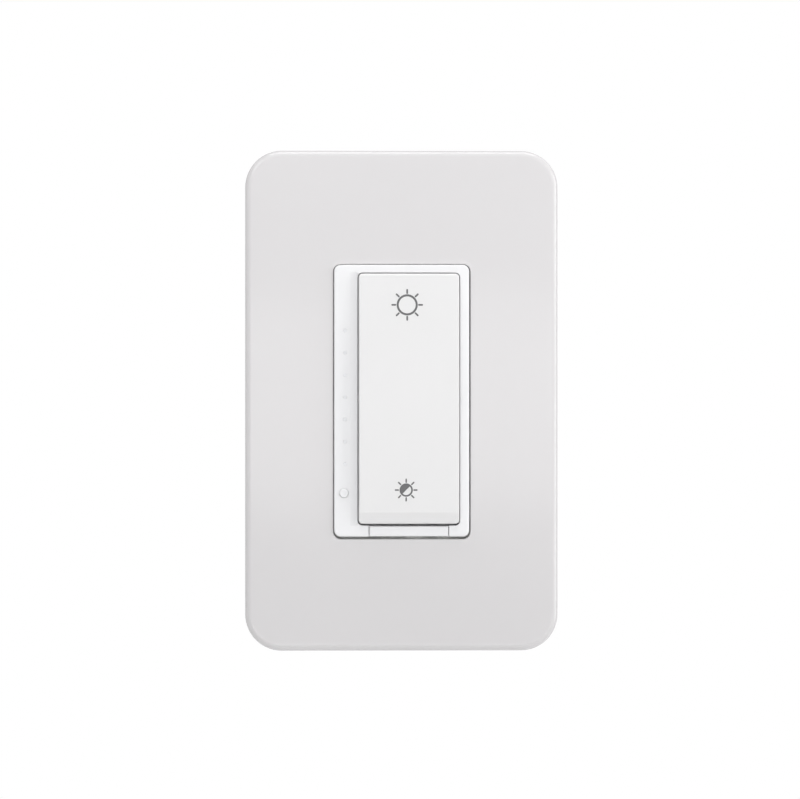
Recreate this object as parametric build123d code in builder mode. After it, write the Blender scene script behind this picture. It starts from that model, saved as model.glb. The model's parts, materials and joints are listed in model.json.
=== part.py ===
from build123d import *
import os
from math import cos, pi, radians, sin

# A single-gang paddle dimmer switch with its screwless wall plate, in millimetres.
# Frame: y = 0 is the wall surface, +Y goes into the wall, +Z is up, and +X is to the right of a person who
# faces the switch. The origin is the middle of the device opening, on the wall surface.

os.makedirs("parts", exist_ok=True)

# ---------------------------------------------------------------- driving dimensions
# wall plate
plate_w = 76.2
plate_h = 121.9
plate_front = 7.0
plate_skin = 1.8
plate_skirt = 1.6
plate_corner_r = 8.9
plate_edge_r = 1.6
lip_depth = 1.4
lip_wall = 1.2
snap_rib_len = 8.0
snap_rib_t = 0.9
snap_rib_z = 30.0
snap_bite = 0.8

# device bezel, the frame that shows in the plate's opening
bezel_w = 32.9
bezel_h = 66.2
bezel_corner_r = 1.6
bezel_front = 7.6
bezel_edge_r = 0.35
bezel_floor = 1.5
bezel_face = 1.4
light_strip_w = 5.7
right_bar_w = 2.2
top_bar_h = 1.9
bottom_bar_h = 2.7
opening_gap = 0.25
opening_play_z = 0.1
opening_drop = 0.13
slope_w = 1.7
slope_drop = 0.35

# paddle
paddle_corner_r = 1.0
paddle_gap = 0.25
paddle_sill_gap = 0.45
paddle_crest = 9.7
paddle_top_front = 8.95
paddle_bottom_front = 9.1
paddle_bevel = 0.45
paddle_facet_h = 2.75
paddle_facet_drop = 0.6
paddle_lip_front = 8.2
paddle_skirt_back = 5.8
paddle_wall = 1.2
paddle_under = 7.7
paddle_edge_r = 0.3
ear_half = 2.3
ear_reach = 1.4
push_block_back = 6.3
push_block_w = 6.0
push_block_h = 3.0
pivot_y = -5.0
trunnion_r = 1.2
trunnion_reach = 0.9
rock_deg = 1.6

# clearances
running_fit = 0.05
touch_gap = 0.05
screw_play = 0.05

# light strip
light_inset = 2.65
light_rise = 0.35
light_pitch = 5.42
light_count = 7
light_tip_r = 0.38
light_leg_r = 0.7
light_bar_w = 2.4
light_bar_t = 1.25
light_bar_end = 1.6
light_recess = 0.15
light_play = 0.25
dimple_r = 0.65
led_w = 1.0
led_l = 1.8
led_h = 0.7

# pairing button
button_inset = 2.4
button_rise = 10.6
button_r = 1.15
button_proud = 0.35
button_flange_r = 1.6
button_flange_t = 0.8
button_stem_r = 0.8
button_dish_r = 0.45
button_dish = 0.12
button_travel = 0.3

# air-gap tab
tab_w = 19.3
tab_h = 2.5
tab_t = 2.5
tab_gap = 0.15
tab_edge_r = 0.3
nail_groove = 0.4
nail_groove_y = -6.0
neck_w = 6.0
neck_t = 1.2
neck_end = 7.0
neck_room = 1.75
bridge_w = 12.0
bridge_t = 1.0
bridge_h = 2.4
contact_w = 3.0
contact_t = 0.8

# mounting strap, with the standard spacings of box screws and plate screws
strap_t = 1.6
strap_w = 45.0
strap_h = 71.0
strap_neck_w = 21.0
strap_length = 106.0
strap_ear_w = 34.0
strap_ear_h = 9.0
strap_corner_r = 1.2
bezel_seat_x = 0.95
bezel_seat_z = 4.1
ear_score_x = 12.5
ear_score_r = 1.1
box_screw_spacing = 83.34
plate_screw_spacing = 96.84
slot_len = 7.1
slot_w = 3.9
lug_x = -16.5
lug_w = 9.0
lug_h = 10.0
lug_room = 1.5

# screws on the strap
screw_major_r = 1.7525
drive_w = 0.9
box_neck_r = 1.45
box_neck_end = 1.2
box_screw_end = 20.0
box_screw_tip = 0.5
box_head_r = 3.3
box_head_h = 2.2
washer_t = 0.8
washer_w = 8.8
washer_corner_r = 1.5
plate_screw_head_r = 2.8
plate_screw_head_h = 1.5
plate_screw_end = 6.0
ground_screw_y = 5.5
ground_screw_r = 2.1
ground_screw_tail = 0.8
ground_head_af = 8.0
ground_head_h = 3.0
ground_flange_r = 4.6
ground_flange_t = 0.8
ground_head_bevel = 0.4

# sub-plate
frame_t = 1.2
frame_inset = 1.0
frame_rim_h = 1.3
frame_rim_t = 1.2
frame_open_gap = 0.8
head_notch_w = 11.0
head_notch_gap = 0.2
post_r = 2.5
post_x = 29.0
post_z = 46.0

# rear housing: a wide front part that holds the control board and a narrower rear part
housing_w = 44.0
housing_h = 70.0
housing_wall = 1.8
housing_step = 15.0
housing_corner_r = 2.5
housing_edge_r = 1.0
rear_w = 35.0
rear_room = 14.2
boss_r = 2.3
boss_margin_x = 0.6
boss_margin_z = 0.2
housing_screw_r = 1.1
housing_screw_head_r = 2.0
housing_screw_head_h = 1.5
screw_head_room = 4.0
drive_reach = 1.33
label_margin = 4.5
label_t = 0.15

# boards and switches
board_t = 1.6
board_side_gap = 2.2
board_top_gap = 3.2
control_board_y = 3.5
power_board_gap = 1.2
power_board_play = 0.2
switch_corner_r = 0.3
tact_size = 6.0
tact_h = 3.5
tact_stem_r = 1.7
tact_stem_h = 0.8
tact_travel = 0.25
small_tact_size = 3.0
small_tact_h = 2.0
small_stem_r = 0.7
small_stem_h = 0.6

# parts on the control board
chip_x = 5.0
chip_size = 7.0
chip_t = 0.9
chip_edge = 0.15
radio_x = -3.0
radio_z = 18.0
radio_w = 14.0
radio_h = 18.0
radio_board_t = 0.8
shield_drop = 2.0
shield_t = 0.2
shield_h = 2.0
shield_size = 10.0
shield_corner_r = 0.6
header_x = -4.0
header_z = -14.0
header_w = 12.7
header_h = 5.0
header_edge = 0.4

# triac and its heat spreader
triac_x = 14.0
triac_w = 4.4
triac_body = 9.2
triac_z = 1.5
triac_tab_h = 6.5
triac_edge = 0.5
triac_front = 2.6
triac_room = 0.8
triac_notch_play = 1.0
triac_notch_margin = 5.0
triac_hole_r = 1.5
triac_head_r = 2.6
triac_head_h = 1.6
triac_head_edge = 0.6
tab_plate_t = 1.3
lead_w = 0.8
lead_pitch = 2.54
lead_reach = 3.0
lead_inset = 1.0
pad_t = 0.2
spreader_t = 1.4
spreader_h = 30.0
spreader_foot = 2.0
spreader_play = 0.3

# parts on the power board; each place is across and up
choke_x = -6.0
choke_z = 11.0
choke_r = 8.2
choke_hole_r = 4.2
choke_h = 8.0
choke_lift = 1.2
choke_edge_r = 0.8
wire_t = 0.7
wrap_count = 22
wrap_gap = 0.1
film_place = (-5.5, -15.5)
film_w = 18.0
film_h = 8.0
film_depth = 12.0
film_edge_r = 0.8
bulk_place = (9.8, 13.0)
bulk_r = 5.0
bulk_depth = 12.5
bulk_edge_r = 0.7
vent_w = 0.4
vent_d = 0.2
varistor_x = -6.5
varistor_bottom = -8.3
varistor_r = 5.0
varistor_t = 3.6
varistor_lift = 6.2
varistor_edge_r = 1.2
varistor_lead_r = 0.4
varistor_lead_x = 2.5
transformer_place = (9.4, -3.5)
transformer_w = 10.5
transformer_h = 10.0
transformer_depth = 11.0
transformer_edge_r = 0.5
window_w = 6.0
window_d = 1.2
window_post = 4.0
fuse_place = (9.5, -14.5)
fuse_w = 8.5
fuse_h = 4.0
fuse_depth = 8.0
fuse_corner_r = 1.0
fuse_edge_r = 0.5
rectifier_place = (6.5, -12.0)
rectifier_w = 6.5
rectifier_h = 5.0
rectifier_t = 2.4
rectifier_edge = 0.3

# plungers and springs
plunger_arm = 20.0
plunger_r = 1.5
plunger_dome = 0.35
plunger_flange_r = 2.6
plunger_flange_t = 0.8
spring_wire_r = 0.2
spring_r = 2.05
spring_turns = 3.5

# terminals
terminal_z = 10.5
terminal_plate = 8.6
terminal_plate_t = 1.2
terminal_corner_r = 0.8
terminal_screw_r = 1.9
terminal_bite = 1.6
terminal_head_r = 3.6
terminal_head_t = 2.2
terminal_head_edge = 0.7
barrier_t = 1.4
barrier_inset = 2.0

# ---------------------------------------------------------------- places worked out from them
bezel_left = -bezel_w / 2
bezel_bottom = -bezel_h / 2
bezel_back = -strap_t
bezel_depth = bezel_front - strap_t
well_floor = bezel_back - bezel_floor
open_w = bezel_w + 2 * opening_gap
open_h = bezel_h + 2 * (opening_gap + opening_play_z)
open_r = bezel_corner_r + opening_gap
well_left = bezel_left + light_strip_w
well_right = bezel_w / 2 - right_bar_w
well_bottom = bezel_bottom + bottom_bar_h
well_top = bezel_h / 2 - top_bar_h
well_w = well_right - well_left
well_h = well_top - well_bottom
paddle_x = (well_left + well_right) / 2
well_z = (well_bottom + well_top) / 2
paddle_w = well_w - 2 * paddle_gap
paddle_left = well_left + paddle_gap
paddle_top = well_top - paddle_gap
paddle_bottom = well_bottom + paddle_sill_gap
paddle_h = paddle_top - paddle_bottom
paddle_z = (paddle_bottom + paddle_top) / 2
plate_inner = -(plate_front - plate_skin)
frame_front = -(strap_t + frame_t)
box_screw_z = box_screw_spacing / 2
plate_screw_z = plate_screw_spacing / 2
strap_open_w = bezel_w - 2 * bezel_seat_x
strap_open_h = bezel_h - 2 * bezel_seat_z
lug_front = -(strap_h / 2 + lug_room)
light_x = bezel_left + light_inset
light_z = paddle_z + light_rise
light_places = [
    (light_x, light_z + light_pitch * (k - (light_count - 1) / 2)) for k in range(light_count)
]
button_place = (bezel_left + button_inset, bezel_bottom + button_rise)
tab_x = paddle_x
tab_bottom = bezel_bottom + tab_gap / 2
tab_z = tab_bottom + tab_h / 2
neck_z = bezel_bottom + bottom_bar_h / 2
housing_screw_x = strap_open_w / 2 - boss_r - boss_margin_x
housing_screw_z = strap_open_h / 2 - boss_r - boss_margin_z
housing_screw_places = GridLocations(2 * housing_screw_x, 2 * housing_screw_z, 2, 2).local_locations
housing_inner_step = housing_step - housing_wall
rear_h = 2 * (housing_screw_z - screw_head_room)
control_board_back = control_board_y + board_t
control_board_top = housing_h / 2 - housing_wall - board_top_gap
control_board_bottom = neck_z + neck_room
power_board_y = housing_inner_step + power_board_gap
power_board_back = power_board_y + board_t
housing_depth = power_board_back + rear_room + housing_wall
terminal_y = (housing_step + housing_depth) / 2
stem_front = control_board_y - tact_h - tact_stem_h
small_stem_front = control_board_y - small_tact_h - small_stem_h
rock_reach = plunger_arm * sin(radians(rock_deg))
plunger_front = -push_block_back + touch_gap
plunger_back = stem_front - rock_reach - touch_gap
plunger_places = [(paddle_x, paddle_z + plunger_arm), (paddle_x, paddle_z - plunger_arm)]


def at_depth(y):
    """Plane parallel to the wall at depth y: x to the right, z up, extrusions grow to the front."""
    return Plane.XZ.offset(-y)


# ---------------------------------------------------------------- wall plate
with BuildPart() as wall_plate:
    with BuildSketch(at_depth(0)):
        RectangleRounded(plate_w, plate_h, plate_corner_r)
    extrude(amount=plate_front)
    fillet(wall_plate.faces().sort_by(Axis.Y)[0].outer_wire().edges(), plate_edge_r)
    with BuildSketch(at_depth(0)):
        RectangleRounded(
            plate_w - 2 * plate_skirt, plate_h - 2 * plate_skirt, plate_corner_r - plate_skirt
        )
    extrude(amount=-plate_inner, mode=Mode.SUBTRACT)
    # collar round the opening
    with BuildSketch(at_depth(plate_inner + lip_depth)):
        with Locations((0, -opening_drop)):
            RectangleRounded(open_w + 2 * lip_wall, open_h + 2 * lip_wall, open_r + lip_wall)
    extrude(amount=lip_depth)
    # ribs inside the long sides that snap behind the sub-plate's edge
    rib_reach = frame_inset + snap_bite
    with BuildSketch(at_depth(-strap_t + running_fit + snap_rib_t)):
        with GridLocations(plate_w - 2 * plate_skirt - rib_reach, 2 * snap_rib_z, 2, 2):
            Rectangle(rib_reach, snap_rib_len)
    extrude(amount=snap_rib_t)
    with BuildSketch(at_depth(0)):
        with Locations((0, -opening_drop)):
            RectangleRounded(open_w, open_h, open_r)
    extrude(amount=plate_front, mode=Mode.SUBTRACT)
wall_plate.part.label = "wall_plate"
export_step(wall_plate.part, "parts/wall_plate.step")

# ---------------------------------------------------------------- sub-plate
frame_w = plate_w - 2 * (plate_skirt + frame_inset)
frame_h = plate_h - 2 * (plate_skirt + frame_inset)
frame_corner_r = plate_corner_r - plate_skirt - frame_inset
head_notch_top = box_screw_z + box_head_r + head_notch_gap
with BuildPart() as plate_frame:
    with BuildSketch(at_depth(-strap_t)):
        RectangleRounded(frame_w, frame_h, frame_corner_r)
    extrude(amount=frame_t + frame_rim_h)
    with BuildSketch(at_depth(frame_front)):
        RectangleRounded(
            frame_w - 2 * frame_rim_t, frame_h - 2 * frame_rim_t, frame_corner_r - frame_rim_t
        )
    extrude(amount=frame_rim_h, mode=Mode.SUBTRACT)
    with BuildSketch(at_depth(frame_front)):
        with GridLocations(2 * post_x, 2 * post_z, 2, 2):
            Circle(post_r)
    extrude(amount=frame_front - plate_inner)
    # window for the bezel, with a notch at each end for the head of a box screw
    with BuildSketch(at_depth(-strap_t)):
        RectangleRounded(bezel_w + 2 * frame_open_gap, bezel_h + 2 * frame_open_gap, bezel_corner_r)
        Rectangle(head_notch_w, 2 * head_notch_top)
        with Locations((0, plate_screw_z), (0, -plate_screw_z)):
            Circle(screw_major_r + screw_play)
    extrude(amount=frame_t, mode=Mode.SUBTRACT)
plate_frame.part.label = "plate_frame"
export_step(plate_frame.part, "parts/plate_frame.step")

# ---------------------------------------------------------------- screws that hold the sub-plate
with BuildPart() as plate_screws:
    with BuildSketch(at_depth(plate_screw_end)):
        with Locations((0, plate_screw_z), (0, -plate_screw_z)):
            Circle(screw_major_r)
    extrude(amount=plate_screw_end - frame_front)
    with BuildSketch(at_depth(frame_front)):
        with Locations((0, plate_screw_z), (0, -plate_screw_z)):
            Circle(plate_screw_head_r)
    extrude(amount=plate_screw_head_h)
    fillet(plate_screws.faces().group_by(Axis.Y)[0].edges(), plate_screw_head_h / 2)
    with BuildSketch(at_depth(frame_front - plate_screw_head_h / 2)):
        with Locations((0, plate_screw_z), (0, -plate_screw_z)):
            Rectangle(2 * plate_screw_head_r, drive_w)
    extrude(amount=plate_screw_head_h, mode=Mode.SUBTRACT)
plate_screws.part.label = "plate_screws"
export_step(plate_screws.part, "parts/plate_screws.step")

# ---------------------------------------------------------------- mounting strap
ear_z = (strap_length - strap_ear_h) / 2
lug_back = lug_front - strap_t
with BuildPart() as mounting_strap:
    with BuildSketch(at_depth(0)) as strap_outline:
        RectangleRounded(strap_w, strap_h, strap_corner_r)
        Rectangle(strap_neck_w, strap_length - strap_ear_h)
        with Locations((0, ear_z), (0, -ear_z)):
            RectangleRounded(strap_ear_w, strap_ear_h, strap_corner_r)
        with Locations((lug_x, lug_back)):
            Rectangle(lug_w, strap_h / 2 + lug_back + strap_h, align=(Align.CENTER, Align.MIN))
        # opening for the mechanism, with a notch for the neck of the air-gap tab
        RectangleRounded(strap_open_w, strap_open_h, strap_corner_r, mode=Mode.SUBTRACT)
        with Locations((tab_x, neck_z - 2 * neck_t / 2 - tab_gap)):
            Rectangle(
                neck_w + 2 * neck_t, strap_open_h / 2, align=(Align.CENTER, Align.MIN), mode=Mode.SUBTRACT
            )
        # scores where the plaster ears snap off
        for side in (-1, 1):
            with GridLocations(2 * ear_score_x, strap_ear_h, 2, 2):
                with Locations((0, side * ear_z)):
                    Circle(ear_score_r, mode=Mode.SUBTRACT)
        with Locations((0, box_screw_z), (0, -box_screw_z)):
            SlotOverall(slot_len, slot_w, mode=Mode.SUBTRACT)
        with Locations((0, plate_screw_z), (0, -plate_screw_z)):
            Circle(screw_major_r + screw_play, mode=Mode.SUBTRACT)
    extrude(amount=strap_t)
    # bent lug for the ground screw
    with BuildSketch(Plane.XY.offset(lug_back)):
        with Locations((lug_x, lug_h / 2)):
            Rectangle(lug_w, lug_h)
        with Locations((lug_x, ground_screw_y)):
            Circle(ground_screw_r + screw_play, mode=Mode.SUBTRACT)
    extrude(amount=strap_t)
mounting_strap.part.label = "mounting_strap"
export_step(mounting_strap.part, "parts/mounting_strap.step")

# ---------------------------------------------------------------- captive box screws and their washers
box_screw_places = Locations((0, box_screw_z), (0, -box_screw_z)).local_locations
with BuildPart() as box_screws:
    with BuildSketch(at_depth(box_neck_end)):
        with Locations(*box_screw_places):
            Circle(box_neck_r)
    extrude(amount=box_neck_end + strap_t)
    with BuildSketch(at_depth(box_screw_end)):
        with Locations(*box_screw_places):
            Circle(screw_major_r)
    extrude(amount=box_screw_end - box_neck_end)
    chamfer(box_screws.faces().group_by(Axis.Y)[-1].edges(), box_screw_tip)
    with BuildSketch(at_depth(-strap_t)):
        with Locations(*box_screw_places):
            Circle(box_head_r)
    extrude(amount=box_head_h)
    fillet(box_screws.faces().group_by(Axis.Y)[0].edges(), box_head_h / 2)
    with BuildSketch(at_depth(-strap_t - box_head_h / 2)):
        with Locations(*box_screw_places):
            Rectangle(2 * box_head_r, drive_w)
    extrude(amount=box_head_h, mode=Mode.SUBTRACT)
box_screws.part.label = "box_screws"
export_step(box_screws.part, "parts/box_screws.step")

with BuildPart() as screw_retainers:
    with BuildSketch(at_depth(washer_t)):
        with Locations(*box_screw_places):
            RectangleRounded(washer_w, washer_w, washer_corner_r)
            Circle(box_neck_r + screw_play, mode=Mode.SUBTRACT)
    extrude(amount=washer_t)
screw_retainers.part.label = "screw_retainers"
export_step(screw_retainers.part, "parts/screw_retainers.step")

# ---------------------------------------------------------------- ground screw
ground_head_bottom = lug_back - ground_flange_t - ground_head_h
with BuildPart() as ground_screw:
    with BuildSketch(Plane.XY.offset(lug_back)):
        with Locations((lug_x, ground_screw_y)):
            Circle(ground_screw_r)
    extrude(amount=strap_t + ground_screw_tail)
    with BuildSketch(Plane.XY.offset(lug_back - ground_flange_t)):
        with Locations((lug_x, ground_screw_y)):
            Circle(ground_flange_r)
    extrude(amount=ground_flange_t)
    with BuildSketch(Plane.XY.offset(ground_head_bottom)):
        with Locations((lug_x, ground_screw_y)):
            RegularPolygon(ground_head_af / 2, 6, major_radius=False)
    extrude(amount=ground_head_h)
    chamfer(ground_screw.faces().sort_by(Axis.Z)[0].edges(), ground_head_bevel)
    with BuildSketch(Plane.XY.offset(ground_head_bottom)):
        with Locations((lug_x, ground_screw_y)):
            Rectangle(2 * ground_head_af, drive_w)
    extrude(amount=ground_head_h / 2, mode=Mode.SUBTRACT)
ground_screw.part.label = "ground_screw"
export_step(ground_screw.part, "parts/ground_screw.step")

# ---------------------------------------------------------------- bezel
pocket_w = light_bar_w + 2 * light_play
light_bar_l = light_pitch * (light_count - 1) + 2 * light_bar_end
light_bar_front = -bezel_front + bezel_face + running_fit
dimple_depth = dimple_r - light_tip_r - running_fit
with BuildPart() as bezel:
    with BuildSketch(at_depth(bezel_back)):
        RectangleRounded(bezel_w, bezel_h, bezel_corner_r)
    extrude(amount=bezel_depth)
    fillet(bezel.faces().sort_by(Axis.Y)[0].edges(), bezel_edge_r)
    # well for the paddle, with a shallow slope down to it from the light strip
    with BuildSketch(at_depth(well_floor)):
        with Locations((paddle_x, well_z)):
            RectangleRounded(well_w, well_h, paddle_corner_r + paddle_gap)
    extrude(amount=bezel_depth - bezel_floor, mode=Mode.SUBTRACT)
    with BuildSketch(Plane.XY.offset(well_bottom)):
        with BuildLine():
            Polyline(
                (well_left - slope_w, -bezel_front),
                (well_left, -bezel_front + slope_drop),
                (well_left, -bezel_front),
                close=True,
            )
        make_face()
    extrude(amount=well_h, mode=Mode.SUBTRACT)
    # notch for the air-gap tab and the slot for its neck
    with BuildSketch(at_depth(-bezel_front + tab_t + tab_gap)):
        with Locations((tab_x, well_bottom + running_fit)):
            Rectangle(tab_w + 2 * tab_gap, bottom_bar_h + tab_gap, align=(Align.CENTER, Align.MAX))
    extrude(amount=tab_t + tab_gap, mode=Mode.SUBTRACT)
    with BuildSketch(at_depth(bezel_back)):
        with Locations((tab_x, neck_z)):
            Rectangle(neck_w + 2 * tab_gap, neck_t + 2 * tab_gap)
    extrude(amount=bezel_depth, mode=Mode.SUBTRACT)
    # pocket and holes for the light guide
    with BuildSketch(at_depth(bezel_back)):
        with Locations((light_x, light_z)):
            Rectangle(pocket_w, light_bar_l + 2 * light_play)
    extrude(amount=bezel_depth - bezel_face, mode=Mode.SUBTRACT)
    with BuildSketch(at_depth(bezel_back)):
        with Locations(*light_places):
            Circle(light_tip_r + running_fit)
    extrude(amount=bezel_depth, mode=Mode.SUBTRACT)
    with BuildSketch(at_depth(-bezel_front + dimple_depth)):
        with Locations(*light_places):
            Circle(light_tip_r + running_fit)
    with BuildSketch(at_depth(-bezel_front)):
        with Locations(*light_places):
            Circle(dimple_r)
    extrude(amount=dimple_depth / 2, mode=Mode.SUBTRACT)
    # stepped bore for the pairing button
    with BuildSketch(at_depth(bezel_back)):
        with Locations(button_place):
            Circle(button_r + running_fit)
    extrude(amount=bezel_depth, mode=Mode.SUBTRACT)
    with BuildSketch(at_depth(bezel_back)):
        with Locations(button_place):
            Circle(button_flange_r + 2 * running_fit)
    extrude(amount=bezel_depth - bezel_face, mode=Mode.SUBTRACT)
    # bearings for the paddle's trunnions
    with BuildSketch(Plane.YZ.offset(well_left - trunnion_reach)):
        with Locations((pivot_y, paddle_z)):
            Circle(trunnion_r + running_fit)
    extrude(amount=well_w + 2 * trunnion_reach, mode=Mode.SUBTRACT)
    # guide holes for the plungers
    with BuildSketch(at_depth(bezel_back)):
        with Locations(*plunger_places):
            Circle(plunger_r + running_fit)
    extrude(amount=bezel_floor, mode=Mode.SUBTRACT)
    # bosses that stand on the control board and take the housing screws
    with BuildSketch(at_depth(control_board_y)):
        with Locations(*housing_screw_places):
            Circle(boss_r)
    extrude(amount=control_board_y - bezel_back)
    with BuildSketch(at_depth(control_board_y)):
        with Locations(*housing_screw_places):
            Circle(housing_screw_r + screw_play)
    extrude(amount=control_board_y - bezel_back + bezel_floor / 2, mode=Mode.SUBTRACT)
bezel.part.label = "bezel"
export_step(bezel.part, "parts/bezel.step")

# ---------------------------------------------------------------- light guide
with BuildPart() as light_guide:
    with BuildSketch(at_depth(light_bar_front + light_bar_t)):
        with Locations((light_x, light_z)):
            RectangleRounded(light_bar_w, light_bar_l, light_bar_w / 3)
    extrude(amount=light_bar_t)
    with BuildSketch(at_depth(light_bar_front)):
        with Locations(*light_places):
            Circle(light_tip_r)
    extrude(amount=bezel_front - light_recess + light_bar_front)
    with BuildSketch(at_depth(control_board_y - led_h - touch_gap)):
        with Locations(*light_places):
            Circle(light_leg_r)
    extrude(amount=control_board_y - led_h - touch_gap - light_bar_front - light_bar_t)
light_guide.part.label = "light_guide"
export_step(light_guide.part, "parts/light_guide.step")

# ---------------------------------------------------------------- paddle
ear_back = pivot_y + ear_reach


def on_front_rim(edge):
    """True for an edge that bounds the paddle's face, and false for one that crosses it."""
    middle = edge.center()
    beside = abs(middle.X - paddle_x) > paddle_w / 2 - paddle_corner_r - running_fit
    past_end = abs(middle.Z - paddle_z) > paddle_h / 2 - running_fit
    return edge.bounding_box().max.Y < -paddle_lip_front + paddle_bevel and (beside or past_end)


with BuildPart() as paddle:
    with BuildSketch(Plane.YZ.offset(paddle_left)):
        with BuildLine():
            Polyline(
                (-paddle_lip_front, paddle_bottom),
                (-paddle_skirt_back, paddle_bottom),
                (-paddle_skirt_back, paddle_top),
                (-paddle_top_front + paddle_bevel, paddle_top),
                (-paddle_top_front, paddle_top - paddle_bevel),
            )
            ThreePointArc(
                (-paddle_top_front, paddle_top - paddle_bevel),
                (-paddle_crest, paddle_z),
                (-paddle_bottom_front, paddle_bottom + paddle_facet_h),
            )
            Polyline(
                (-paddle_bottom_front, paddle_bottom + paddle_facet_h),
                (-paddle_bottom_front + paddle_facet_drop, paddle_bottom + paddle_bevel / 2),
                (-paddle_lip_front, paddle_bottom),
            )
        make_face()
    extrude(amount=paddle_w)
    fillet(paddle.edges().filter_by(Axis.Y), paddle_corner_r)
    fillet(paddle.edges().filter_by(on_front_rim), paddle_edge_r)
    # hollow behind the face
    with BuildSketch(at_depth(-paddle_skirt_back)):
        with Locations((paddle_x, paddle_z)):
            Rectangle(paddle_w - 2 * paddle_wall, paddle_h - 2 * paddle_wall)
    extrude(amount=paddle_under - paddle_skirt_back, mode=Mode.SUBTRACT)
    # blocks that push the plungers
    with BuildSketch(at_depth(-push_block_back)):
        with Locations(*plunger_places):
            Rectangle(push_block_w, push_block_h)
    extrude(amount=paddle_under - push_block_back)
    # ears and trunnions
    with BuildSketch(at_depth(ear_back)):
        with Locations((paddle_x, paddle_z)):
            with GridLocations(paddle_w - paddle_wall, 0, 2, 1):
                Rectangle(paddle_wall, 2 * ear_half)
    extrude(amount=paddle_under + ear_back)
    with BuildSketch(Plane.YZ.offset(paddle_left - trunnion_reach)):
        with Locations((pivot_y, paddle_z)):
            Circle(trunnion_r)
    extrude(amount=trunnion_reach + paddle_wall)
    with BuildSketch(Plane.YZ.offset(paddle_left + paddle_w - paddle_wall)):
        with Locations((pivot_y, paddle_z)):
            Circle(trunnion_r)
    extrude(amount=trunnion_reach + paddle_wall)
paddle.part.label = "paddle"
export_step(paddle.part, "parts/paddle.step")

# ---------------------------------------------------------------- plungers and their springs
def plunger(place):
    """Pin with a flange for the spring and a rounded tip that the paddle pushes."""
    with BuildPart() as pin:
        with BuildSketch(at_depth(plunger_back)):
            with Locations(place):
                Circle(plunger_r)
        extrude(amount=plunger_back - plunger_front)
        fillet(pin.faces().sort_by(Axis.Y)[0].edges(), plunger_dome)
        with BuildSketch(at_depth(plunger_front + plunger_dome + plunger_flange_t)):
            with Locations(place):
                Circle(plunger_flange_r)
        extrude(amount=plunger_flange_t)
    return pin


def spring(place):
    """Coil spring between the well's floor and the plunger's flange."""
    coil_back = well_floor - spring_wire_r - running_fit
    coil_front = plunger_front + plunger_dome + plunger_flange_t + spring_wire_r + running_fit
    height = coil_back - coil_front
    with BuildPart() as coil:
        with BuildLine(at_depth(coil_back)) as centre_line:
            Helix(
                height / spring_turns,
                height,
                spring_r,
                center=place,
                direction=(0, -1, 0),
            )
        with BuildSketch(Plane(centre_line.edge() @ 0, z_dir=centre_line.edge() % 0)):
            Circle(spring_wire_r)
        sweep(path=centre_line.edge(), is_frenet=True)
    return coil


upper_plunger = plunger(plunger_places[0])
upper_plunger.part.label = "upper_plunger"
export_step(upper_plunger.part, "parts/upper_plunger.step")

lower_plunger = plunger(plunger_places[1])
lower_plunger.part.label = "lower_plunger"
export_step(lower_plunger.part, "parts/lower_plunger.step")

upper_spring = spring(plunger_places[0])
upper_spring.part.label = "upper_spring"
export_step(upper_spring.part, "parts/upper_spring.step")

lower_spring = spring(plunger_places[1])
lower_spring.part.label = "lower_spring"
export_step(lower_spring.part, "parts/lower_spring.step")

# ---------------------------------------------------------------- pairing button
flange_front = -bezel_front + bezel_face + running_fit
with BuildPart() as pairing_button:
    with BuildSketch(at_depth(flange_front)):
        with Locations(button_place):
            Circle(button_r)
    extrude(amount=bezel_front + button_proud + flange_front)
    fillet(pairing_button.faces().sort_by(Axis.Y)[0].edges(), button_proud)
    with BuildSketch(at_depth(flange_front + button_flange_t)):
        with Locations(button_place):
            Circle(button_flange_r)
    extrude(amount=button_flange_t)
    with BuildSketch(at_depth(small_stem_front - touch_gap)):
        with Locations(button_place):
            Circle(button_stem_r)
    extrude(amount=small_stem_front - touch_gap - flange_front - button_flange_t)
    with BuildSketch(at_depth(-bezel_front - button_proud + button_dish)):
        with Locations(button_place):
            Circle(button_dish_r)
    extrude(amount=button_dish, mode=Mode.SUBTRACT)
pairing_button.part.label = "pairing_button"
export_step(pairing_button.part, "parts/pairing_button.step")

# ---------------------------------------------------------------- air-gap tab, its bridge and the contacts
with BuildPart() as air_gap_tab:
    with BuildSketch(at_depth(-bezel_front + tab_t)):
        with Locations((tab_x, tab_z)):
            Rectangle(tab_w, tab_h)
    extrude(amount=tab_t)
    fillet(air_gap_tab.faces().sort_by(Axis.Y)[0].edges(), tab_edge_r)
    # groove under the front edge for a fingernail
    with BuildSketch(at_depth(nail_groove_y)):
        with Locations((tab_x, tab_bottom)):
            Rectangle(tab_w / 2, nail_groove)
    extrude(amount=2 * nail_groove, mode=Mode.SUBTRACT)
    with BuildSketch(at_depth(neck_end)):
        with Locations((tab_x, neck_z)):
            Rectangle(neck_w, neck_t)
    extrude(amount=neck_end + bezel_front - tab_t)
air_gap_tab.part.label = "air_gap_tab"
export_step(air_gap_tab.part, "parts/air_gap_tab.step")

with BuildPart() as air_gap_bridge:
    with BuildSketch(at_depth(neck_end + bridge_t)):
        with Locations((tab_x, neck_z)):
            Rectangle(bridge_w, bridge_h)
    extrude(amount=bridge_t)
    fillet(air_gap_bridge.edges().filter_by(Axis.Y), bridge_t / 2)
air_gap_bridge.part.label = "air_gap_bridge"
export_step(air_gap_bridge.part, "parts/air_gap_bridge.step")

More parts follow.
